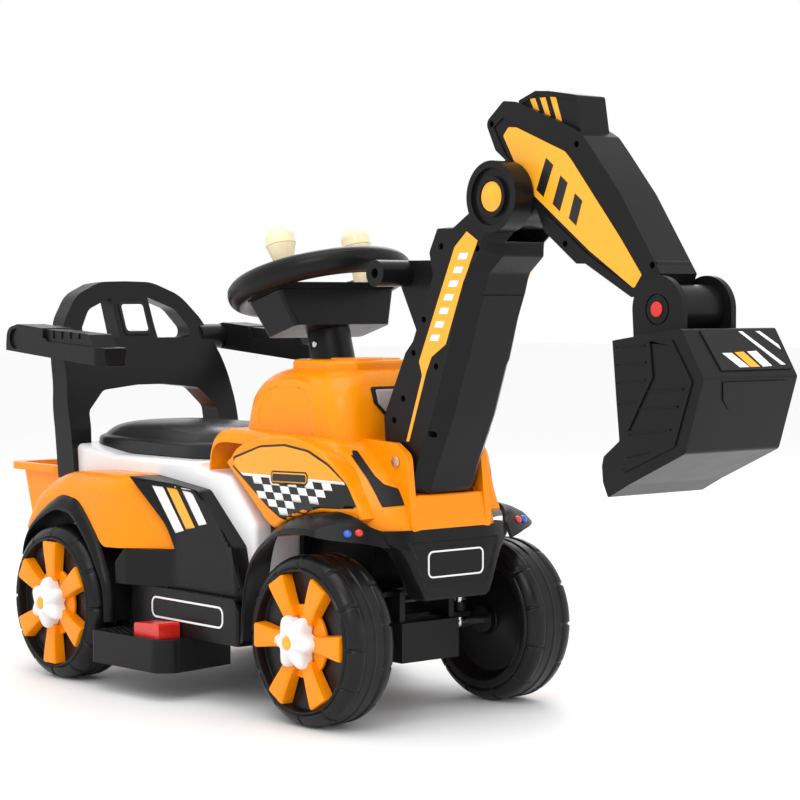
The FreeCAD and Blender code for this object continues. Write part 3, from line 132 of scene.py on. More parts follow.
MATERIALS = {
    "orange": plastic("orange_plastic_shell", (1.0, 0.285, 0.001), 0.27, shine=0.2, coat=0.08,
                      variation=0.04),
    "white": plastic("white_plastic_shell", (0.86, 0.86, 0.87), 0.24, coat=0.3, variation=0.02),
    "black": plastic("black_plastic_shell", (0.008, 0.008, 0.009), 0.31, shine=0.16, depth=0.10,
                     variation=0.15),
    "satin": plastic("dark_satin_trim", (0.014, 0.014, 0.015), 0.40, shine=0.16, depth=0.14,
                     variation=0.12),
    "tyre": plastic("tyre_black", (0.007, 0.007, 0.008), 0.30, shine=0.24, depth=0.12, variation=0.2),
    "cream": plastic("cream_knob", (0.93, 0.80, 0.52), 0.25, coat=0.3, variation=0.03),
    "red": plastic("red_plastic", (0.72, 0.020, 0.012), 0.28, coat=0.3, variation=0.05),
    "amber": plastic("amber_sticker", (1.0, 0.430, 0.020), 0.30, coat=0.2, variation=0.02, depth=0.02),
    "print_white": plastic("white_print", (0.88, 0.88, 0.88), 0.32, variation=0.02, depth=0.02),
    "print_black": plastic("black_print", (0.010, 0.010, 0.010), 0.30, variation=0.1, depth=0.02),
    "blue_lens": plastic("blue_lens", (0.02, 0.12, 0.60), 0.12, coat=0.6),
    "red_lens": plastic("red_lens", (0.80, 0.02, 0.01), 0.12, coat=0.6),
    "amber_face": plastic("orange_sticker", (1.0, 0.36, 0.015), 0.28, coat=0.2, variation=0.02,
                          depth=0.02),
    "shield": plastic("shield_face", (0.42, 0.33, 0.33), 0.45, variation=0.08),
    "seat": plastic("seat_black", (0.016, 0.016, 0.017), 0.26, shine=0.24, depth=0.08,
                    variation=0.12, scuff=0.04),
    "cream_line": plastic("cream_shade", (0.62, 0.50, 0.30), 0.4),
    "steel": metal("bright_steel", (0.62, 0.63, 0.65), 0.26),
    "can": metal("motor_can", (0.34, 0.35, 0.37), 0.38),
    "nylon": plastic("gear_nylon", (0.78, 0.77, 0.70), 0.38),
    "case": plastic("battery_case", (0.03, 0.03, 0.04), 0.40),
}
# The look of each of the CAD record's material slots, and the slot each look stands for.
SLOT_LOOK = {
    "orange_plastic": "orange", "white_plastic": "white", "black_plastic": "black", "tyre_plastic": "tyre",
    "cream_plastic": "cream", "red_plastic": "red", "amber_plastic": "amber", "blue_lens": "blue_lens",
    "red_lens": "red_lens", "steel": "steel", "motor_steel": "can", "gear_nylon": "nylon",
    "battery_case": "case",
}
LOOK_SLOT = {look: slot for slot, look in SLOT_LOOK.items()}
LOOK_SLOT.update(satin="black_plastic", seat="black_plastic", shield="white_plastic",
                 cream_line="cream_plastic", print_white="white_plastic", print_black="black_plastic",
                 amber_face="orange_plastic")


def round_edges(obj, width, segments, angle):
    edge = obj.modifiers.new("edge", "BEVEL")
    edge.width = width * MM
    edge.segments = segments
    edge.limit_method = "ANGLE"
    edge.angle_limit = radians(angle)


def even_normals(obj):
    normals = obj.modifiers.new("normals", "WEIGHTED_NORMAL")
    normals.keep_sharp = True


def soften(obj):
    """Rounds the sharp edges that a mould would leave soft."""
    weld = obj.modifiers.new("weld", "WELD")
    weld.merge_threshold = 0.00002
    merge = obj.modifiers.new("planar", "DECIMATE")
    merge.decimate_type = "DISSOLVE"
    merge.angle_limit = radians(0.6)
    round_edges(obj, 1.2, 3, 32)
    even_normals(obj)
    for face in obj.data.polygons:
        face.use_smooth = True


def dress_nodes():
    slots = {item["node"]: item["material_slot"] for item in frame["record"]["subparts"]}
    for name, obj in NODES.items():
        look = MATERIALS[SLOT_LOOK[slots[name]]]
        obj.data.materials.clear()
        obj.data.materials.append(look)
        soften(obj)


# ------------------------------------------------------------------ geometry helpers
# The camera's place: ahead of the rear axle, out to the side and above the ground.
EYE = (2387.1, 1672.6, 460)
SIDES = (("right", -1), ("left", 1))


def rounded(points, steps=6):
    """A run of (a, b) points with the corners given as (a, b, radius) turned into arcs."""
    run = []
    count = len(points)
    for i, point in enumerate(points):
        corner = Vector(point[:2])
        radius = point[2] if len(point) > 2 else 0
        if radius == 0:
            run.append(corner)
            continue
        before = (Vector(points[i - 1][:2]) - corner).normalized()
        after = (Vector(points[(i + 1) % count][:2]) - corner).normalized()
        half = before.angle(after) / 2
        centre = corner + (before + after).normalized() * (radius / sin(half))
        start = corner + before * (radius / tan(half)) - centre
        sweep = pi - 2 * half
        if start.x * after.y - start.y * after.x < 0:
            sweep = -sweep
        for step in range(steps + 1):
            turn = Matrix.Rotation(sweep * step / steps, 2)
            run.append(centre + turn @ start)
    return run


PLANES = {
    "side": lambda a, b, depth: at(a, depth, b),
    "front": lambda a, b, depth: at(depth, a, b),
    "plan": lambda a, b, depth: at(a, b, depth),
}


def outlined(points, place, level):
    """Mesh of one closed outline at a level, without a face."""
    bm = bmesh.new()
    ring = [bm.verts.new(place(p[0], p[1], level)) for p in rounded(points)]
    for i, vert in enumerate(ring):
        bm.edges.new((vert, ring[(i + 1) % len(ring)]))
    return bm


def slab(points, low, high, plane="side"):
    """Closed plate of one outline between two parallel planes."""
    place = PLANES[plane]
    bm = outlined(points, place, low)
    base = bm.faces.new(bm.verts[:])
    grown = bmesh.ops.extrude_face_region(bm, geom=[base])["geom"]
    shift = place(0, 0, high) - place(0, 0, low)
    bmesh.ops.translate(bm, vec=shift, verts=[g for g in grown if isinstance(g, bmesh.types.BMVert)])
    bmesh.ops.recalc_face_normals(bm, faces=bm.faces[:])
    return bm


def band(outer, inner, low, high, plane):
    """Closed line between an outline and a second one with the same corners."""
    place = PLANES[plane]
    edges = ((outer, low), (outer, high), (inner, high), (inner, low))
    return closed_loop([[place(p[0], p[1], depth) for p in rounded(outline)] for outline, depth in edges])


def softened(bm, width, segments=4, angle=35):
    """The mesh with its sharp edges rounded."""
    sharp = [edge for edge in bm.edges
             if len(edge.link_faces) == 2 and edge.calc_face_angle() > radians(angle)]
    bmesh.ops.bevel(bm, geom=sharp, offset=width * MM, segments=segments, affect="EDGES", profile=0.5)
    return bm


def piece(name, bm, look, body="chassis", bevel=0.0, segments=2, smooth=35):
    """Makes an object of a mesh, gives it its material, soft edges and the body it rides on."""
    mesh = bpy.data.meshes.new(name)
    bmesh.ops.recalc_face_normals(bm, faces=bm.faces[:])
    bm.to_mesh(mesh)
    bm.free()
    obj = bpy.data.objects.new(name, mesh)
    bpy.context.scene.collection.objects.link(obj)
    mesh.materials.append(MATERIALS[look])
    mesh.polygons.foreach_set("use_smooth", [True] * len(mesh.polygons))
    if bevel:
        round_edges(obj, bevel, segments, smooth)
        even_normals(obj)
    mesh.set_sharp_from_angle(angle=radians(smooth))
    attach(obj, body)
    return obj


def skin(rows, cap=True):
    """Skin through rows of points; each row is a ring, and the first and last are capped."""
    bm = bmesh.new()
    rings = [[bm.verts.new(point) for point in row] for row in rows]
    for lower, upper in zip(rings, rings[1:]):
        for i in range(len(lower)):
            j = (i + 1) % len(lower)
            bm.faces.new((lower[i], lower[j], upper[j], upper[i]))
    if cap:
        bm.faces.new(rings[0])
        bm.faces.new(rings[-1])
    return bm


def closed_loop(rows):
    """Skin through rows of points that comes back to its first row."""
    bm = skin(rows + [rows[0]], cap=False)
    bmesh.ops.remove_doubles(bm, verts=bm.verts[:], dist=0.000001)
    return bm


def circle(count):
    """Angles of a full turn, evenly spaced."""
    return [2 * pi * step / count for step in range(count)]


def ease(low, high, value):
    share = min(1, max(0, (value - low) / (high - low)))
    return share * share * (3 - 2 * share)


PRINT_CELL = 5.0
FAR_OUT = 1000


def cut_in_cells(bm):
    """Cuts a flat outline along a square grid."""
    corners = [v.co for v in bm.verts]
    for axis, normal in enumerate(((1, 0, 0), (0, 1, 0))):
        low, high = min(c[axis] for c in corners), max(c[axis] for c in corners)
        cut = ceil(low / PRINT_CELL) * PRINT_CELL
        while cut < high:
            spot = (cut, 0, 0) if axis == 0 else (0, cut, 0)
            bmesh.ops.bisect_plane(bm, geom=bm.verts[:] + bm.edges[:] + bm.faces[:], dist=0.01,
                                   plane_co=spot, plane_no=normal)
            cut += PRINT_CELL


def print_on(name, points, target, look, plane="side", outward=1, lift=0.15, thick=0.5, sight=None,
             bevel=0.0):
    """Thin print that follows a curved moulding: its outline is cut into cells and laid on the surface.

    It is laid straight across, or, with a sight depth, along lines from the camera's place, or its mirror
    on the other side, through the outline drawn at that depth."""
    bm = outlined(points, lambda a, b, level: (a, b, level), 0)
    bmesh.ops.triangle_fill(bm, use_beauty=True, edges=bm.edges[:])
    cut_in_cells(bm)
    place = PLANES[plane]
    tree = BVHTree.FromObject(target, bpy.context.evaluated_depsgraph_get())
    ray = (place(0, 0, -outward) - place(0, 0, 0)).normalized()
    lost = []
    for vert in bm.verts:
        start = place(vert.co.x, vert.co.y, outward * FAR_OUT)
        if sight is not None:
            start = at(EYE[0], outward * EYE[1], EYE[2])
            ray = (place(vert.co.x, vert.co.y, outward * sight) - start).normalized()
        spot, normal, _, _ = tree.ray_cast(start, ray)
        if spot is None:
            lost.append(vert)
            continue
        if normal.dot(ray) > 0:
            normal = -normal
        vert.co = spot + normal * lift * MM
    if lost:
        bmesh.ops.delete(bm, geom=lost, context="VERTS")
    bmesh.ops.recalc_face_normals(bm, faces=bm.faces[:])
    obj = piece(name, bm, look, smooth=60)
    shell = obj.modifiers.new("thickness", "SOLIDIFY")
    shell.thickness = thick * MM
    shell.offset = 0
    if bevel:
        round_edges(obj, bevel, 2, 50)


def spread(rows, steps):
    """Smooth run of rows (tuples of numbers) through the given ones, by Catmull-Rom between them."""
    run = []
    for i in range(len(rows) - 1):
        a, b, c, d = rows[max(0, i - 1)], rows[i], rows[i + 1], rows[min(len(rows) - 1, i + 2)]
        for step in range(steps):
            t = step / steps
            run.append(tuple(
                0.5 * (2 * q + (r - p) * t + (2 * p - 5 * q + 4 * r - s) * t * t
                       + (3 * q - p - 3 * r + s) * t ** 3)
                for p, q, r, s in zip(a, b, c, d)))
    run.append(tuple(rows[-1]))
    return run


def plan_ring(x_low, x_high, half, radius):
    """Ring of (x, y) round a plan with rounded corners."""
    ring = []
    for x, y, start in ((x_high, half, 0), (x_low, half, 90), (x_low, -half, 180), (x_high, -half, 270)):
        centre_x = x - copysign(radius, x - (x_low + x_high) / 2)
        centre_y = y - copysign(radius, y)
        for step in range(21):
            turn = radians(start + 90 * step / 20)
            ring.append((centre_x + radius * cos(turn), centre_y + radius * sin(turn)))
    return ring


def carve(bm, cutters):
    """The mesh with each cutter mesh taken away."""
    scene = bpy.context.scene.collection
    made = []
    for source in (bm, *cutters):
        bmesh.ops.recalc_face_normals(source, faces=source.faces[:])
        mesh = bpy.data.meshes.new("carve")
        source.to_mesh(mesh)
        source.free()
        obj = bpy.data.objects.new("carve", mesh)
        scene.objects.link(obj)
        made.append(obj)
    for cutter in made[1:]:
        cut = made[0].modifiers.new("cut", "BOOLEAN")
        cut.operation = "DIFFERENCE"
        cut.solver = "EXACT"
        cut.object = cutter
    result = bmesh.new()
    result.from_object(made[0], bpy.context.evaluated_depsgraph_get())
    for obj in made:
        mesh = obj.data
        bpy.data.objects.remove(obj)
        bpy.data.meshes.remove(mesh)
    return result


def block(x_low, x_high, half, z_low, z_high):
    """Box about the middle plane."""
    return slab([(x_low, -half), (x_high, -half), (x_high, half), (x_low, half)], z_low, z_high, "plan")


def cross_ring(x, z, radius, y):
    """Ring of points about an axis across the toy."""
    return [at(x + radius * cos(turn), y, z + radius * sin(turn)) for turn in circle(32)]


def bead(radius, height, thick):
    """Section of a round bead, as (radius, height) pairs."""
    return [(radius + thick * cos(turn), height + thick * sin(turn)) for turn in circle(8)]


# ------------------------------------------------------------------ wheels
LUGS = 12
TYRE_STEPS = 480
HALF_WIDTH = (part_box("rear_right_tyre")[1][1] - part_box("rear_right_tyre")[0][1]) / 2 / MM
WHEEL_RADIUS = middle("rear_right_tyre")[2]
SHOULDER = 16.0
TREAD_EDGE = 13
LUG_FOOT = 79
DISH_FACE = HALF_WIDTH - 11.0


def tyre_section():
    """Half section as (radius, distance outboard), with close steps where the lugs need them."""
    half, radius = HALF_WIDTH, WHEEL_RADIUS
    corners = [
        (6.1, -28), (16, -28, 1.5), (16, -19, 2), (60, -15, 4), (69, -half, 2),
        (radius, -half, SHOULDER), (radius, half, SHOULDER), (75.5, half, 2), (73.5, DISH_FACE, 1.2),
        (34, DISH_FACE - 2.5, 1), (6.1, DISH_FACE - 2.5)]
    run = rounded(corners, 10)
    section = []
    for here, after in zip(run, run[1:]):
        steps = max(1, int((after - here).length / (1.6 if here.x > 74 else 8)))
        section += [here.lerp(after, step / steps) for step in range(steps)]
    section.append(run[-1])
    return section


def lug_depth(radius, outboard, angle):
    """How far the skin lies below the envelope: grooves between lugs, a lower band and a seam."""
    side = abs(outboard)
    if radius < LUG_FOOT:
        return 0.0
    across = ease(12.5, 14.5, side) * ease(LUG_FOOT, LUG_FOOT + 2.5, radius)
    pitch = 360 / LUGS
    offset = pitch / 2 if outboard < 0 else 0
    place = (angle + offset) % pitch
    from_groove = min(place, pitch - place)
    along = ease(0.55, 1.7, from_groove)
    lug = across * along
    band = 0.9 * ease(0.4, 1.2, side)
    base = 2.2 if side > TREAD_EDGE or radius < 88 else 1.3
    return (1 - lug) * (base * (1 if side > TREAD_EDGE else band))


def wheel_point(wheel, radius, outboard, angle):
    """Point on a wheel; the angle runs in the wheel's own plane from straight ahead."""
    centre, side = wheel
    turn = radians(angle)
    return at(centre[0] + radius * cos(turn), centre[1] + side * outboard,
              centre[2] + radius * sin(turn))


def turned(wheel, section, base, count):
    """Rings about a wheel's axis, from (radius, height above a base) pairs."""
    return [[wheel_point(wheel, radius, base + up, 360 * step / count) for step in range(count)]
            for radius, up in section]


def make_tyre(name, wheel, body):
    section = tyre_section()
    normals = []
    for i, spot in enumerate(section):
        before, after = section[max(0, i - 1)], section[min(len(section) - 1, i + 1)]
        tangent = (after - before).normalized()
        normals.append(Vector((tangent.y, -tangent.x)))
    rows = []
    for spot, normal in zip(section, normals):
        inward = -normal if normal.dot(spot - Vector((70, 0))) > 0 else normal
        row = []
        for step in range(TYRE_STEPS):
            angle = 360 * step / TYRE_STEPS
            moved = spot + inward * lug_depth(spot.x, spot.y, angle)
            row.append(wheel_point(wheel, moved.x, moved.y, angle))
        rows.append(row)
    obj = piece(name, closed_loop(rows), "tyre", body, smooth=50)
    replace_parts(obj, name.replace("_detailed", ""))


def add_part(bm, part):
    """Adds one mesh to another."""
    mesh = bpy.data.meshes.new("part")
    part.to_mesh(mesh)
    part.free()
    bm.from_mesh(mesh)
    bpy.data.meshes.remove(mesh)


def make_spokes(name, wheel, body, first):
    """Six flared blades with drafted flanks on a ring plate."""
    bm = bmesh.new()
    face = DISH_FACE - 0.5
    stations = ((27, 8.4, 12.5), (44, 9.6, 14.2), (58, 11.6, 15.2), (70, 13.2, 15.5), (73.4, 13.2, 15.0))
    for blade in range(6):
        rows = []
        for radius, half, tall in stations:
            ring = []
            for across, up in ((-half - 1.2, 0), (-half, tall - 1.6), (-half + 1.8, tall), (half - 1.8, tall),
                               (half, tall - 1.6), (half + 1.2, 0)):
                angle = first + 60 * blade + degrees(atan2(across, radius))
                ring.append(wheel_point(wheel, hypot(radius, across), face + up, angle))
            rows.append(ring)
        add_part(bm, skin(rows))
    plate_section = ((12.6, 0), (12.6, 4.5), (38, 4.5), (40, 3.5), (40, 0))
    add_part(bm, closed_loop(turned(wheel, plate_section, face, 72)))
    obj = piece(name, bm, "orange", body, bevel=0.9, segments=3, smooth=25)
    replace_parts(obj, name.replace("_detailed", ""))


def make_star(name, wheel, body, first):
    """White hub cap: six round lobes with scooped valleys between them, and a shallow well."""
    base = DISH_FACE + 5.5
    levels = ((0, 31, 21), (11, 31, 20.5), (14.5, 29.5, 18.5), (17, 26.5, 15.5), (19.5, 21, 13),
              (21.6, 15.5, 11.6), (22.3, 12.5, 10.6), (22.2, 10.0, 9.2), (20.8, 8.2, 8.2), (20.3, 7.6, 7.6))
    rows = []
    for up, lobe, valley in levels:
        row = []
        for step in range(144):
            angle = 360 * step / 144
            share = (0.5 + 0.5 * cos(radians(6 * (angle - first)))) ** 0.85
            row.append(wheel_point(wheel, valley + (lobe - valley) * share, base + up, angle))
        rows.append(row)
    obj = piece(name, skin(rows), "white", body, smooth=40)
    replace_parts(obj, name.replace("_detailed", ""))
    rows = turned(wheel, ((6.9, 20.2), (6.7, 21.6), (5.6, 22.5), (3.2, 22.8)), base, 48)
    piece(name.replace("hub_star_detailed", "cap"), skin(rows), "amber", body, smooth=40)


def make_wheels():
    for corner, first in (("front_right", 0), ("front_left", 0), ("rear_right", 30), ("rear_left", 30)):
        centre = middle(corner + "_tyre")
        centre[0] -= AXLE_X
        wheel = (centre, 1 if centre[1] > 0 else -1)
        body = corner + "_wheel"
        make_tyre(corner + "_tyre_detailed", wheel, body)
        make_spokes(corner + "_spokes_detailed", wheel, body, first)
        make_star(corner + "_hub_star_detailed", wheel, body, first)


# ------------------------------------------------------------------ digging arm
BOOM_SIDE_Y = 46.0
STICK_SIDE_Y = 26.0
CREST_SIDE_Y = 19.1
BUCKET_SIDE_Y = 67.0
BACKING = 0.2


def plate(name, points, y, thick, look, body, side, bevel=0.0):
    """Flat trim on a side face, sunk a little into it and standing out by its thickness."""
    low, high = sorted((side * (y - BACKING), side * (y + thick)))
    piece(name, slab(points, low, high), look, body, bevel=bevel)


def along(start, end, share, offset=0.0):
    """Point part of the way from start to end, moved to the left of that line by an offset."""
    a, b = Vector(start), Vector(end)
    direction = (b - a).normalized()
    return a + (b - a) * share + Vector((-direction.y, direction.x)) * offset


def slanted_bar(start, end, low, width, left, right, slant=6.0):
    """Parallelogram lying across a strip that runs from start to end, leaning along it."""
    length = (Vector(end) - Vector(start)).length
    corners = [(low, left), (low + width / length, left), (low + width / length + slant / length, right),
               (low + slant / length, right)]
    return [tuple(along(start, end, share, offset)) for share, offset in corners]


BOOM_STRIP = [(590, 530, 1), (607, 520, 1), (595, 497, 6), (585, 478), (557, 411, 4), (534, 397, 4),
              (525, 379, 8), (497.5, 305), (493, 305), (519, 377, 8), (514, 392, 3), (571, 514, 6)]


def make_boom_trim():
    for hand, side in SIDES:
        plate(f"boom_strip_{hand}", BOOM_STRIP, BOOM_SIDE_Y, 0.5, "amber", "boom", side)
        for index in range(7):
            bar = slanted_bar((530, 400), (592, 520), 0.10 + 0.12 * index, 7.5, 5.5, -6.5)
            plate(f"boom_strip_bar_{hand}_{index}", bar, BOOM_SIDE_Y + 0.4, 0.4, "print_white", "boom", side)


STICK_FACE = [(623, 629, 2.5), (631, 637.5, 3), (643, 636.5, 2), (714, 608.5, 8), (723, 600, 8), (793, 519),
              (823, 481, 3), (812, 469, 3), (749, 508, 30), (670, 565, 10), (659, 577, 10), (651, 593, 10),
              (639, 603, 10)]


def make_stick_trim():
    for hand, side in SIDES:
        plate(f"stick_face_{hand}", STICK_FACE, STICK_SIDE_Y - 1.4, 0.6, "amber", "stick", side)
        for index in range(3):
            bar = slanted_bar((640, 620), (800, 500), 0.24 + 0.14 * index, 13, 15 - 2.5 * index,
                              -19 + 2 * index, 8)
            plate(f"stick_bar_{hand}_{index}", bar, STICK_SIDE_Y - 0.9, 0.4, "print_black", "stick", side)
        for index in range(3):
            x, foot = 657 + 15 * index, 5 * index
            bar = [(x, 665.5), (x + 8, 665.5), (x + 16 + index, 648 - foot), (x + 8 + index, 651 - foot)]
            plate(f"crest_bar_{hand}_{index}", bar, CREST_SIDE_Y, 0.5, "amber", "stick", side)


BUCKET_FRAME = [(874, 421, 2), (902, 421, 3), (928, 382, 3), (906, 320, 4), (838, 291, 3), (836, 296, 2),
                (901, 324, 4), (922, 382, 4), (899, 416, 3), (874, 416, 2)]
BUCKET_RIDGE = [(869, 419, 1), (874, 419, 1), (878, 385, 2), (846, 332, 1), (841, 334, 1), (872, 386, 2)]
BUCKET_RIBS = ((829, 411, 866, 414), (829, 394, 868, 398), (830, 376, 868, 381), (831, 356, 857, 360),
               (868, 369, 916, 374), (857, 351, 909, 357), (846, 327, 900, 335), (845, 305, 895, 318))


def make_bucket_trim():
    for hand, side in SIDES:
        plate(f"bucket_frame_{hand}", BUCKET_FRAME, BUCKET_SIDE_Y, 1.6, "black", "bucket", side, 0.6)
        plate(f"bucket_ridge_{hand}", BUCKET_RIDGE, BUCKET_SIDE_Y, 2.0, "black", "bucket", side, 0.7)
        for index, (x0, z0, x1, z1) in enumerate(BUCKET_RIBS):
            rib = [(x0, z0, 1), (x1, z1, 1), (x1, z1 + 3, 1), (x0, z0 + 3, 1)]
            plate(f"bucket_rib_{hand}_{index}", rib, BUCKET_SIDE_Y, 1.3, "black", "bucket", side, 0.5)


BUCKET_FACE = ((913, 431.6), (941.6, 385), (919, 314))


def on_bucket_face(name, face, points, low, high, look, bevel=0.0):
    """A flat piece on one of the bucket's front faces, by shares across it and down it."""
    top, foot = Vector(BUCKET_FACE[face]), Vector(BUCKET_FACE[face + 1])
    run = foot - top
    out = Vector((-run.y, run.x)).normalized()
    rows = []
    for height in (low, high):
        spots = [(across, top + run * down + out * height) for across, down in points]
        rows.append([at(spot.x, BUCKET_SIDE_Y * (2 * across - 1), spot.y) for across, spot in spots])
    bm = skin(rows)
    if bevel:
        bm = softened(bm, bevel, 3)
    piece(name, bm, look, "bucket")


BUCKET_MARKS = (
    ("bar_a", "print_white", [(0.29, 0.52), (0.39, 0.52), (0.51, 0.81), (0.41, 0.81)]),
    ("bar_b", "amber", [(0.424, 0.51), (0.52, 0.50), (0.625, 0.81), (0.525, 0.81)]),
    ("bar_c", "print_white", [(0.56, 0.50), (0.66, 0.49), (0.758, 0.80), (0.658, 0.81)]),
    ("slash_a", "print_white", [(0.565, 0.09), (0.606, 0.09), (0.912, 0.78), (0.862, 0.78)]),
    ("slash_b", "print_white", [(0.75, 0.09), (0.796, 0.09), (0.935, 0.38), (0.935, 0.47)]))


def make_bucket_front():
    """Raised panel with its marks on the upper front face, and the chin below the fold."""
    panel = [(0.17, 0.06), (0.96, 0.06), (0.96, 0.86), (0.21, 0.86)]
    on_bucket_face("bucket_panel", 0, panel, -1, 1.5, "satin", 0.8)
    chin = [(0.20, 0.05), (0.25, 0.30), (0.33, 0.42), (0.77, 0.40), (0.86, 0.28), (0.88, 0.05)]
    on_bucket_face("bucket_chin", 1, chin, -1, 1.3, "black", 0.9)
    for name, look, points in BUCKET_MARKS:
        on_bucket_face(f"bucket_{name}", 0, points, 1.2, 1.8, look)


# ------------------------------------------------------------------ hood
HOOD_TOP = [(221, 262), (222, 284), (226, 300), (238, 309), (262, 311), (330, 308.5), (400, 307),
            (424, 305.5), (438, 300), (456, 287), (475, 272.5), (493, 256), (503, 242), (511, 226),
            (517, 209)]
HOOD_HALF = 113
HOOD_CORNER = 13
HOOD_SKIN = 2.6
HOOD_SWEEP = 44
HOOD_TAPER = 0.13
FLANK_SWEEP = 20
SWEEP_BACK, SWEEP_DOWN = 1.214, 0.15
EAR = [(424, 298), (433, 305.5, 3), (487, 303, 5), (507, 291, 12), (512.5, 247, 4), (516.5, 214), (424, 214)]
FLANK_ARCH = [(272, 279), (284, 291), (304, 299), (330, 305), (352, 308), (373, 308.5), (396, 306.5),
              (418, 301), (438, 294), (457, 284), (476, 270), (493, 252), (505, 236), (511, 224)]
FLANK_FOOT = [(262, 274), (309, 236), (350, 205), (376, 215), (406, 223), (430, 227), (453, 228), (490, 221)]
STICKER = [(275, 272, 3), (281, 281, 4), (331, 296, 30), (375, 299.5, 30), (417, 295, 30), (452, 282, 40),
           (483, 262, 40), (504, 232, 3), (466, 234, 10), (438, 233, 10), (421, 229, 10), (399, 219, 10),
           (383, 215, 8), (367, 217, 8), (342, 229, 10)]
STICKER_TOP = [(279.5, 272), (284, 279, 3), (331, 293.5, 30), (375, 297, 30), (416, 292.5, 30),
               (450.5, 279.5, 40), (478, 263.5), (293, 263.5)]
STICKER_LINE = [(294, 263.5), (478.5, 263.5), (480.5, 260.5), (299, 260.5)]
BADGE = [(351, 258), (354.5, 254.5), (413.5, 256), (417, 259.5), (417, 267), (413.5, 270.5), (354.5, 269),
         (351, 265.5)]
BADGE_LINE = [(352.8, 258.8), (355.3, 256.3), (412.7, 257.8), (415.2, 260.3), (415.2, 266.2), (412.7, 268.7),
              (355.3, 267.2), (352.8, 264.7)]
BADGE_FACE = [(354.2, 259.4), (355.9, 257.7), (412.1, 259.2), (413.8, 260.9), (413.8, 265.6), (412.1, 267.3),
              (355.9, 265.8), (354.2, 264.1)]
VENT = [(462, 292, 2), (466, 295.5, 2), (474, 295, 2), (504, 270, 12), (519, 262, 8), (555, 257, 2),
        (563, 240, 2), (516, 238, 3), (507, 249, 6), (492, 266, 10)]
WELL_HALF = 49.4
EAR_DEPTHS = (49.5, 58)
FLANK_DEPTHS = (96, 122)
LIP = [(498, 208), (517, 208), (513.5, 228), (510, 247), (498, 247)]
MIDDLE_HALF = 57
SCREW = ((5.8, 56), (5.8, 59.5), (4.4, 61), (1.5, 61.3))


def hood_shell(name, y_from, y_to, x_from, x_to):
    """Part of the hood's skin: its side profile across a width, rounded and swept back at the corners."""
    line = [Vector(p) for p in spread(HOOD_TOP, 6) if x_from <= p[0] <= x_to]
    rows = []
    for step in range(25):
        y = y_from + (y_to - y_from) * step / 24
        over = max(0, abs(y) - (HOOD_HALF - HOOD_CORNER)) / HOOD_CORNER
        drop = HOOD_CORNER * (1 - sqrt(max(0, 1 - over * over)))
        outer, inner = [], []
        for i, spot in enumerate(line):
            run = (line[min(i + 1, len(line) - 1)] - line[max(i - 1, 0)]).normalized()
            sweep = HOOD_SWEEP * (max(0, abs(y) - 45) / 67) ** 2.2 * ease(430, 505, spot.x)
            rounding = ease(262, 285, spot.y) if spot.x < 300 else ease(205, 222, spot.y)
            low = drop * rounding
            across = y * (1 - HOOD_TAPER * ease(390, 470, spot.x))
            outer.append(at(spot.x - sweep, across, spot.y - low))
            inner.append(at(spot.x - sweep + HOOD_SKIN * run.y, across, spot.y - low - HOOD_SKIN * run.x))
        rows.append(outer + inner[::-1])
    hood = piece(name, skin(rows), "orange", smooth=40)
    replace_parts(hood, "hood")
    return hood


def swept_back(bm):
    """Turns the front of a side piece inwards, as the hood's corner does."""
    for x in range(412, 514, 6):
        everything = bm.verts[:] + bm.edges[:] + bm.faces[:]
        bmesh.ops.bisect_plane(bm, geom=everything, plane_co=at(x, 0, 0), plane_no=(1, 0, 0))
    for vert in bm.verts:
        x = vert.co.x / MM - AXLE_X
        inward = FLANK_SWEEP * ease(425, 508, x)
        vert.co.x -= SWEEP_BACK * inward * MM
        vert.co.y -= copysign(inward, vert.co.y) * MM
        vert.co.z -= SWEEP_DOWN * inward * MM


def between(depths, side):
    """The two depths on one side of the toy, in rising order."""
    return sorted(side * depth for depth in depths)


def make_hood():
    hood_shell("hood_front_middle", -MIDDLE_HALF, MIDDLE_HALF, 419, 440)
    hood_shell("hood_rear_middle", -MIDDLE_HALF, MIDDLE_HALF, 205, 264)
    well = block(434, 436.5, WELL_HALF, 246, 303)
    floor = block(436, 508, WELL_HALF, 232, 234.5)
    for name, bm in (("wall", well), ("floor", floor)):
        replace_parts(piece(f"hood_well_{name}", bm, "orange"), "hood")
    front = piece("hood_lip", slab(LIP, -MIDDLE_HALF, MIDDLE_HALF), "orange", bevel=2.5, segments=3)
    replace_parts(front, "hood")
    for hand, side in SIDES:
        hood = hood_shell(f"hood_side_{hand}", side * 55, side * HOOD_HALF, 205, 520)
        bm = slab(EAR, *between(EAR_DEPTHS, side))
        ear = piece(f"hood_ear_{hand}", bm, "orange", bevel=2.5, segments=4)
        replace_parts(ear, "hood")
        outline = spread(FLANK_ARCH, 4) + spread(FLANK_FOOT, 3)[::-1]
        bm = softened(slab(outline, *between(FLANK_DEPTHS, side)), 5, 5, 50)
        swept_back(bm)
        flank = piece(f"hood_flank_{hand}", bm, "orange", smooth=50)
        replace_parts(flank, "hood")
        print_on(f"hood_vent_{hand}", VENT, hood, "satin", outward=side, sight=100, lift=0.5, thick=1.8,
                 bevel=0.5)
        make_sticker(hand, side, flank)
        head = [cross_ring(490, 283, radius, side * y) for radius, y in SCREW]
        piece(f"hood_screw_{hand}", skin(head), "steel", smooth=40)


CHECK_WIDE = 15.5
CHECK_TALL = 8
CHECK_LEAN = 4


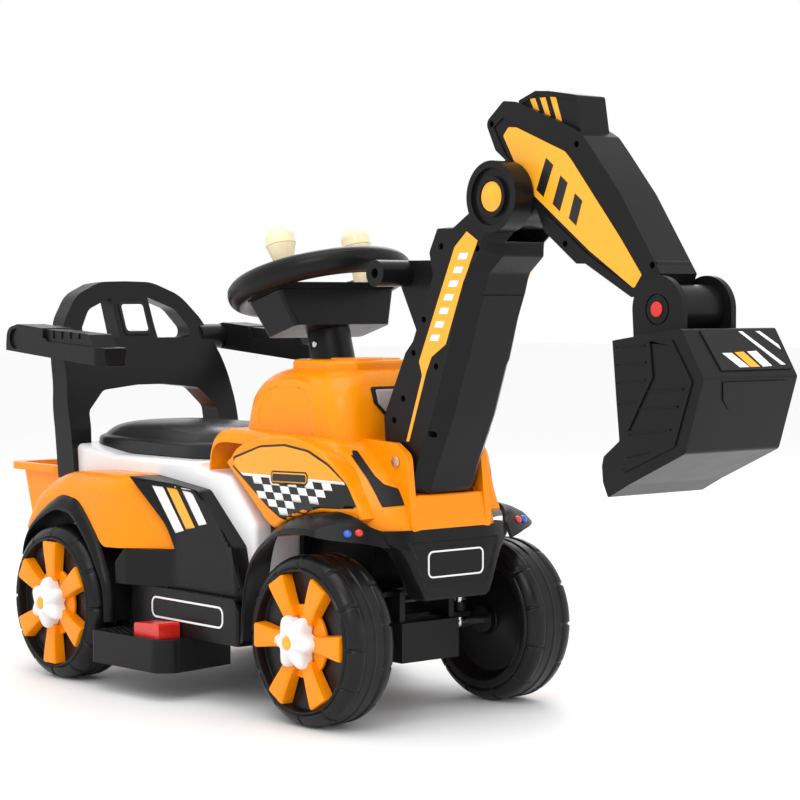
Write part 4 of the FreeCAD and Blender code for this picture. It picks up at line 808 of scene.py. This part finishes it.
def make_sticker(hand, side, flank):
    """Hood sticker: orange above, black below, a white line, a checker flag and a blank plate."""
    def layer(name, points, lift, look):
        print_on(f"sticker_{name}_{hand}", points, flank, look, outward=side, sight=FLANK_DEPTHS[1],
                 lift=lift, thick=0.3)

    layer("base", STICKER, 0.2, "print_black")
    layer("top", STICKER_TOP, 0.5, "amber_face")
    layer("line", STICKER_LINE, 0.6, "print_white")
    for row, (start, stop) in enumerate(((0, 9), (0, 8), (0, 7), (0, 5), (1, 4))):
        for column in range(start, stop):
            if (column + row) % 2 == 0:
                x, z = 316 + CHECK_WIDE * column + CHECK_LEAN * row, 260.7 - CHECK_TALL * row
                x_foot, z_foot = x + CHECK_LEAN, z - CHECK_TALL
                square = [(x, z), (x + CHECK_WIDE, z), (x_foot + CHECK_WIDE, z_foot), (x_foot, z_foot)]
                layer(f"check_{row}_{column}", square, 0.6, "print_white")
    layer("badge", BADGE, 0.9, "print_black")
    layer("badge_line", BADGE_LINE, 1.1, "amber")
    layer("badge_face", BADGE_FACE, 1.3, "print_black")


# ------------------------------------------------------------------ cowl
COWL_RINGS = (
    (286, 245, 435, 90.5, 26), (305, 246, 433, 89.5, 27), (330, 249, 430, 88, 29), (345, 252, 427, 86.5, 31),
    (356, 257, 423, 84, 33), (365, 264, 417.5, 80.5, 35), (373, 274, 411, 75, 36), (378.5, 286, 404, 67, 35),
    (381.5, 300, 394, 55, 30), (382.5, 318, 378, 38, 22))
COWL_TOP = [(291, -36, 6), (310, -60, 8), (384, -60, 10), (401, -40, 8), (401, 40, 8), (384, 60, 10),
            (310, 60, 8), (291, 36, 6)]
COWL_FRAME = [(345, -34, 3), (392, -34, 5), (392, 34, 5), (345, 34, 3)]
SHIELD = [(-37.5, 361, 3), (37.5, 361, 3), (38, 344, 3), (15, 320, 4), (-15, 320, 4), (-38, 344, 3)]


def arch_level(x, z, grow):
    """Below 1 inside the cowl's side arch panel, grown by a margin."""
    middle_x, reach_x, reach_z = 337, 49.5 + grow, 76 + grow
    power = 5 if x < middle_x else 3
    return (abs(x - middle_x) / reach_x) ** power + (max(0, z - 284) / reach_z) ** power


def resampled(row, size):
    """The ring of points with its spacing evened out to a count."""
    lengths = [0.0]
    for i, spot in enumerate(row):
        lengths.append(lengths[-1] + (row[(i + 1) % len(row)] - spot).length)
    result, k = [], 0
    for step in range(size):
        goal = lengths[-1] * step / size
        while lengths[k + 1] < goal:
            k += 1
        share = (goal - lengths[k]) / max(1e-9, lengths[k + 1] - lengths[k])
        result.append(row[k].lerp(row[(k + 1) % len(row)], share))
    return result


RIM_OUT = 2.6
HOLLOW_IN = 4.2


def make_cowl():
    rows = []
    for z, x_low, x_high, half, corner in spread(COWL_RINGS, 6):
        ring = plan_ring(x_low, x_high, half, corner)
        dense = []
        for i, spot in enumerate(ring):
            after = ring[(i + 1) % len(ring)]
            parts = max(1, round(dist(spot, after) / 2.5))
            dense += [(spot[0] + (after[0] - spot[0]) * k / parts, spot[1] + (after[1] - spot[1]) * k / parts)
                      for k in range(parts)]
        row = []
        for x, y in dense:
            flat = ease(0.80, 0.96, abs(y) / half)
            rim = 1 - ease(0.97, 1.10, arch_level(x, z, 9))
            hollow = 1 - ease(0.95, 1.06, arch_level(x, z, 0))
            row.append(at(x, y + copysign(flat * (RIM_OUT * rim - HOLLOW_IN * hollow), y), z))
        rows.append(row)
    size = max(len(row) for row in rows)
    cowl = piece("cowl_detailed", skin([resampled(row, size) for row in rows]), "orange", smooth=50)
    top = piece("cowl_top", slab(COWL_TOP, 370, 390.5, "plan"), "orange", bevel=4, segments=4)
    pad = piece("cowl_top_pad", slab(COWL_FRAME, 388, 392.5, "plan"), "orange", bevel=1.6, segments=3)
    for obj in (cowl, top, pad):
        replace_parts(obj, "cowl")
    print_on("cowl_shield", SHIELD, cowl, "satin", plane="front", lift=0.6, thick=2.0, bevel=0.5)
    face = [(p[0] * 0.86, 341 + (p[1] - 341) * 0.84, 2) for p in SHIELD]
    print_on("cowl_shield_face", face, cowl, "shield", plane="front", lift=1.8, thick=0.6)


# ------------------------------------------------------------------ rear fenders and side panels
CROWN = [(-87, 183), (-82, 204), (-68, 226), (-40, 241), (-8, 248.5), (25, 251), (60, 252), (95, 252),
         (130, 251), (152, 234), (172, 206), (190, 168)]
CROWN_FOOT = [(-84, 174), (-75, 182), (-62, 192), (-38, 206.5), (-8, 220.5), (15, 220), (33, 215),
              (55, 195.5), (76, 172.5), (87, 166), (100, 166), (112, 166)]


def fender_reach(x):
    """How far outboard the rear fender and the panel in front of it stand."""
    return 170.5 - 30 * ease(96, 194, x)


FENDER_ROOT = 118


def make_rear_fender(hand, side):
    rows = []
    for crown, foot in zip(spread(CROWN, 5), spread(CROWN_FOOT, 5)):
        top, low = Vector(crown), Vector(foot)
        down = (low - top).normalized() if (low - top).length > 1e-6 else Vector((0.5, -0.8))
        reach = fender_reach(top.x)
        radius = min(30, max(2, (low - top).length * 0.9))
        profile = [(FENDER_ROOT, 0), (140, 0)]
        for angle in range(0, 91, 9):
            turn = radians(angle)
            profile.append((reach - radius * (1 - sin(turn)), radius * (1 - cos(turn))))
        row = []
        for y, drop in profile:
            spot = top + down * drop
            row.append(at(spot.x, side * max(y, FENDER_ROOT), spot.y))
        row.append(at(low.x, side * fender_reach(low.x), low.y))
        row.append(at(low.x, side * FENDER_ROOT, low.y))
        rows.append(row)
    obj = piece(f"rear_fender_{hand}_detailed", skin(rows), "orange", bevel=1.0, smooth=40)
    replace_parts(obj, f"rear_fender_{hand}")


PANEL_RIM = [(136, 249.5, 2), (224, 243, 12), (250, 234, 12), (300, 184, 10), (312.5, 131, 2),
             (307.5, 131, 2), (294.5, 182, 8), (246.5, 229, 10), (222, 237.5, 10), (141, 243.5, 2)]
STRIPES = (
    ("a", "print_white", [(158, 246), (180, 246), (225, 194), (209, 190)]),
    ("b", "amber", [(189, 244), (209, 244), (247, 199), (230, 196)]),
    ("c", "print_white", [(220, 243), (239, 242), (270, 205), (255, 202)]))


def make_side_panel_trim(hand, side):
    panel = NODES["side_panels"]
    print_on(f"panel_rim_{hand}", PANEL_RIM, panel, "black", outward=side, lift=0.8, thick=2.4, bevel=0.8)
    for name, look, points in STRIPES:
        print_on(f"panel_stripe_{name}_{hand}", points, panel, look, outward=side, sight=152, lift=0.35)


# ------------------------------------------------------------------ arches, front fender and body
OPENING = [(-80, 143), (-76, 158), (-62, 175.5), (-37, 191), (-9, 202), (13, 202), (27, 198.5), (47, 183),
           (66, 163), (83, 139), (96, 117), (99.5, 78)]
ARCH_RIM = [(-88, 143), (-79, 166), (-65, 186), (-38, 206), (-7, 220), (16, 219.5), (33, 214.5), (55, 195),
            (76, 172), (92, 144), (104, 118), (106, 78)]
ARCH_SECTION = ((121, 0.12), (121, 0), (178, 0), (180, 0.06), (180.4, 0.2), (179.6, 0.42), (176, 0.78),
                (173, 0.95), (170.2, 1.0), (169, 0.9), (169, 0.12))


def make_rear_arch(hand, side):
    rows = []
    for near, far in zip(spread(OPENING, 5), spread(ARCH_RIM, 5)):
        inner, outer = Vector(near), Vector(far)
        spots = [(y, inner.lerp(outer, share)) for y, share in ARCH_SECTION]
        rows.append([at(spot.x, side * y, spot.y) for y, spot in spots])
    obj = piece(f"rear_arch_{hand}", skin(rows), "black", smooth=45)
    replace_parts(obj, "rear_arches")


FENDER_LINES = (
    (325, 112, 78, 338, 156, 78, 343, 160, 78), (326, 112, 120, 340, 156, 113, 346, 160, 112),
    (329, 112, 155, 345, 156, 143, 351, 160, 141), (337, 112, 185, 354, 156, 167, 360, 160, 163),
    (350, 112, 205, 368, 156, 184, 373, 160, 179), (375, 112, 217, 386, 156, 197, 390, 160, 192),
    (406, 112, 225.5, 407, 156, 208, 409, 160, 203), (430, 112, 229, 430, 156, 213, 431, 160, 207),
    (453, 112, 230, 453, 156, 214.5, 455, 160, 208), (468, 111, 228.5, 468, 153, 214, 474, 158, 206),
    (478, 109, 226, 477, 141, 216, 489, 146, 203), (485, 106, 223, 484, 128, 217, 499, 132, 201),
    (491, 102, 219, 491, 116, 217, 506, 118, 199), (497, 96, 213, 499, 104, 213, 512, 104, 196),
    (502, 88, 208, 506, 92, 209, 516, 90, 193))
BUMPER_LEVELS = (
    (133.5, 48), (136, 50.5), (142, 54), (150, 58), (160, 62.5), (170, 67), (180, 72.5), (188, 79), (194, 88),
    (198, 97), (202, 100), (206, 99), (210, 96))
LAMP_RADIUS = 4.7
LAMPS = (("red", "lamp_lenses_red", (496.5, 116.3, 209.5)), ("blue", "lamp_lenses_blue", (492.5, 128.6, 209)))


def make_front_arch(hand, side):
    """Arch over a front wheel, running out into the lamp wing."""
    rows = []
    for line in spread(FENDER_LINES, 5):
        root, crest, foot = Vector(line[:3]), Vector(line[3:6]), Vector(line[6:])
        under = Vector((0, -4, -4))
        run = [root, root.lerp(crest, 0.5) + Vector((0, 0, 2)), root.lerp(crest, 0.9) + Vector((0, 0, 0.8)),
               crest, crest.lerp(foot, 0.12), crest.lerp(foot, 0.9), foot, foot + Vector((-1.5, -3, 0)),
               crest + under, root + under]
        rows.append([at(p.x, side * p.y, p.z) for p in run])
    obj = piece(f"front_arch_{hand}", skin(rows), "black", bevel=0.8, smooth=32)
    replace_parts(obj, "front_fender")


def make_lamps(hand, side):
    """Round lenses on the wing."""
    for name, node, (x, y, z) in LAMPS:
        rows = []
        for level in range(15):
            lift = pi * (level / 14 - 0.5) * 0.98
            reach = LAMP_RADIUS * cos(lift)
            rows.append([at(x + reach * cos(turn), side * (y + reach * sin(turn)),
                            z + LAMP_RADIUS * sin(lift)) for turn in circle(24)])
        lens = piece(f"lamp_{name}_{hand}", skin(rows), f"{name}_lens", smooth=60)
        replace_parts(lens, node)


def bumper_front(y, z):
    """Front of the bumper at a height: swept back towards the wings and raked at the top."""
    sweep = 20 * (max(0, abs(y) - 42) / 60) ** 2
    return 524 - sweep - 7.5 * ease(186, 212, z) - 1.5 * (1 - ease(133, 137, z))


PANEL_SUNK = 2.2


def make_bumper():
    """Bumper with its sunk panel, wider towards the wings."""
    rows = []
    for z, half in spread(BUMPER_LEVELS, 5):
        front, back = [], []
        for step in range(-40, 41):
            y = half * step / 40
            x = bumper_front(y, z) - 9 * ease(0.90, 1.0, abs(step) / 40) ** 2
            panel = ease(148.5, 151, z) * (1 - ease(196, 198, z))
            across = 1 - ease(-1.2, 1.2, abs(y) - (46 + 17 * (z - 151) / 46))
            front.append(at(x - PANEL_SUNK * panel * across, y, z))
            back.append(at(x - 14, y * 0.97, z))
        rows.append(front + back[::-1])
    bumper = piece("bumper_detailed", skin(rows), "black", smooth=42)
    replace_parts(bumper, "front_fender")


SHELL = [(-92, 125.5), (-92, 268, 14), (-60, 281, 16), (-20, 276, 30), (30, 270, 30), (206, 270), (206, 262),
         (268, 258, 12), (318, 205, 14), (318, 125.5)]


def make_body_shell():
    outer = softened(slab(SHELL, -120, 120), 7, 5, 30)
    rooms = [block(-84, 250, 111, 120, 248), block(240, 302, 109, 120, 196), block(262, 400, 98, 190, 300)]
    obj = piece("body_shell_detailed", carve(outer, rooms), "white", smooth=40)
    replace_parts(obj, "body_shell")


# ------------------------------------------------------------------ steps, bumper, seat and backrest
def plate_line(name, points, inset, depths, plane):
    """Thin white line round a plate: the outline and the same one drawn in."""
    middle_a = sum(p[0] for p in points) / len(points)
    middle_b = sum(p[1] for p in points) / len(points)
    inner = [(a - copysign(inset, a - middle_a), b - copysign(inset, b - middle_b),
              max(0.5, radius - inset)) for a, b, radius in points]
    piece(name, band(points, inner, *depths, plane), "print_white")


def make_nubs(name, spots, z, radius):
    """Grip dots standing on a level face."""
    bm = bmesh.new()
    for x, y in spots:
        rows = [[at(x + r * cos(turn), y + r * sin(turn), z + h) for turn in circle(8)]
                for r, h in ((radius, -0.4), (radius * 0.9, 0.5), (radius * 0.45, 0.9))]
        add_part(bm, skin(rows))
    piece(name, bm, "black", smooth=60)


STEP_LINE = [(157, 88, 9), (298, 88, 9), (298, 113, 9), (157, 113, 9)]
NUB_PITCH = 9


def make_step_trim(hand, side):
    plate_line(f"step_plate_line_{hand}", STEP_LINE, 2.2, (side * 149.8, side * 150.7), "side")
    spots = [(x, side * y) for x in range(117, 322, NUB_PITCH) for y in (136, 145)]
    make_nubs(f"step_top_nubs_{hand}", spots, 123.5, 1.6)
    board = []
    for i, x in enumerate(range(108, 232, NUB_PITCH)):
        for y in range(157, 192, 7):
            under_pedal = side < 0 and 156 < x < 226 and y < 187
            at_corner = x > 214 and y > 184
            if not under_pedal and not at_corner:
                board.append((x, side * (y + (3.5 if i % 2 else 0))))
    make_nubs(f"footrest_nubs_{hand}", board, 71, 1.5)


COIL_X, COIL_Y = 198, -166.75
COIL_RADIUS = 5.5
COIL_FOOT, COIL_RISE = 55.8, 10.2
WIRE = 0.8


def make_pedal_spring():
    """The coil under the pedal, in place of the CAD spring."""
    rows = []
    for step in range(78):
        turn = 2 * pi * step / 24
        rows.append([at(COIL_X + reach * cos(turn), COIL_Y + reach * sin(turn), height)
                     for reach, height in bead(COIL_RADIUS, COIL_FOOT + COIL_RISE * step / 77, WIRE)])
    spring = piece("pedal_coil", skin(rows), "steel", smooth=60)
    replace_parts(spring, "pedal_spring")
    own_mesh(spring)


PLATE_LINE = [(-40.5, 157.4, 7), (40.5, 157.4, 7), (40.5, 187, 7), (-40.5, 187, 7)]


def make_bumper_trim():
    plate_line("number_plate_line", PLATE_LINE, 1.8, (521.0, 522.6), "front")


SEAT_RINGS = (
    (271, -85, 206, 94, 62), (281, -84.5, 205.5, 93.5, 62), (287, -83, 204.5, 92.5, 61),
    (289.5, -80, 202, 90, 60),
    (291, -76, 198, 86.5, 57), (296, -71, 194, 82, 55), (301.5, -62, 186, 74, 50), (305.5, -48, 172, 61, 43),
    (308, -26, 150, 42, 32), (309, 0, 120, 22, 18))


def make_seat():
    rows = []
    for z, x_low, x_high, half, corner in spread(SEAT_RINGS, 4):
        row = []
        for x, y in plan_ring(x_low, x_high, half, corner):
            level = ease(271, 290, z) * (1 - ease(296, 308, z))
            sag = 7 * exp(-((x - 80) / 70) ** 2) * level
            row.append(at(x, y, z - sag))
        rows.append(row)
    seat = piece("seat_detailed", skin(rows), "seat", bevel=0.8, smooth=40)
    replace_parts(seat, "seat")


def make_backrest_trim():
    back = NODES["backrest"]
    badge = [(-20, 413, 5), (20, 413, 5), (20, 455, 5), (-20, 455, 5)]
    print_on("backrest_badge_frame", badge, back, "satin", plane="front", lift=0.6, thick=2.0, bevel=0.5)
    face = [(-16.5, 417, 4), (16.5, 417, 4), (16.5, 451.5, 4), (-16.5, 451.5, 4)]
    print_on("backrest_badge", face, back, "print_white", plane="front", lift=1.8, thick=0.6)


COLUMN_LEAN = radians(16.5)
COLUMN_X, COLUMN_Z = 304, 409


def column_ring(name, body, section, look, offset=(0.0, 0.0)):
    """Bead turned about the leaning steering axis, or beside it: (radius, height above its middle) pairs."""
    up = Vector((-sin(COLUMN_LEAN), 0, cos(COLUMN_LEAN)))
    ahead = Vector((cos(COLUMN_LEAN), 0, sin(COLUMN_LEAN)))
    rows = []
    for radius, height in section:
        row = []
        for turn in circle(96):
            across = Vector((0, offset[1] + radius * sin(turn), 0))
            spot = ahead * (offset[0] + radius * cos(turn)) + up * height + across
            row.append(at(COLUMN_X + spot.x, spot.y, COLUMN_Z + spot.z))
        rows.append(row)
    piece(name, closed_loop(rows), look, body, smooth=40)


RIM_RADIUS, RIM_HEIGHT, RIM_THICK = 93, 72, 14.4


def make_steering_trim():
    seam = radians(25)
    line = bead(RIM_RADIUS + RIM_THICK * cos(seam), RIM_HEIGHT + RIM_THICK * sin(seam), 1.1)
    column_ring("steering_rim_line", "steering", line, "tyre")
    for hand, side in SIDES:
        column_ring(f"knob_line_{hand}", f"{hand}_knob", bead(16.7, 113, 0.7), "cream_line",
                    offset=(12, side * 56))


# ------------------------------------------------------------------ stage, light and camera
def make_stage():
    material, nodes, links = shader("studio_floor")
    surface = nodes["Principled BSDF"]
    surface.inputs["Roughness"].default_value = 0.6
    noise = add_node(nodes, "ShaderNodeTexNoise", Scale=3)
    ramp = add_node(nodes, "ShaderNodeValToRGB")
    ramp.color_ramp.elements[0].color = (0.93, 0.93, 0.93, 1)
    ramp.color_ramp.elements[1].color = (0.96, 0.96, 0.96, 1)
    links.new(noise.outputs["Fac"], ramp.inputs["Fac"])
    links.new(ramp.outputs["Color"], surface.inputs["Base Color"])
    bpy.ops.mesh.primitive_plane_add(size=30, location=(0, 0, -0.0005))
    floor = bpy.context.object
    floor.name = "studio_floor"
    floor.data.materials.append(material)

    world = bpy.data.worlds.new("studio")
    world.use_nodes = True
    world.node_tree.nodes["Background"].inputs["Color"].default_value = (1, 1, 1, 1)
    world.node_tree.nodes["Background"].inputs["Strength"].default_value = 1.0
    bpy.context.scene.world = world
    for name, place, size, energy in (
            ("key", (1.6, -2.2, 2.6), 1.4, 26), ("fill", (3.2, 1.2, 1.6), 2.0, 10),
            ("rim", (-1.8, 1.8, 2.2), 1.6, 22), ("top", (0.2, -0.4, 3.0), 2.0, 24)):
        light = bpy.data.lights.new(name, "AREA")
        light.size = size
        light.energy = energy
        lamp = bpy.data.objects.new(name, light)
        lamp.location = place
        lamp.rotation_euler = (Vector((0, 0, 0.3)) - Vector(place)).to_track_quat("-Z", "Y").to_euler()
        bpy.context.scene.collection.objects.link(lamp)


CAMERA_AZIMUTH, CAMERA_PITCH = radians(49.51), radians(-2.528)


def make_camera():
    data = bpy.data.cameras.new("camera")
    data.sensor_width = 36
    data.lens = 103.76
    camera = bpy.data.objects.new("camera", data)
    camera.location = at(EYE[0], -EYE[1], EYE[2])
    camera.rotation_euler = (pi / 2 + CAMERA_PITCH, 0, CAMERA_AZIMUTH)
    bpy.context.scene.collection.objects.link(camera)
    bpy.context.scene.camera = camera
    bpy.context.scene.view_settings.view_transform = "Standard"


make_camera()
make_stage()
dress_nodes()
make_wheels()
make_boom_trim()
make_stick_trim()
make_bucket_trim()
make_bucket_front()
make_hood()
make_cowl()
for hand, side in SIDES:
    make_front_arch(hand, side)
    make_lamps(hand, side)
make_bumper()
make_pedal_spring()
make_bumper_trim()
make_body_shell()
make_seat()
make_backrest_trim()
make_steering_trim()
for hand, side in SIDES:
    make_rear_fender(hand, side)
    make_rear_arch(hand, side)
    make_side_panel_trim(hand, side)
    make_step_trim(hand, side)
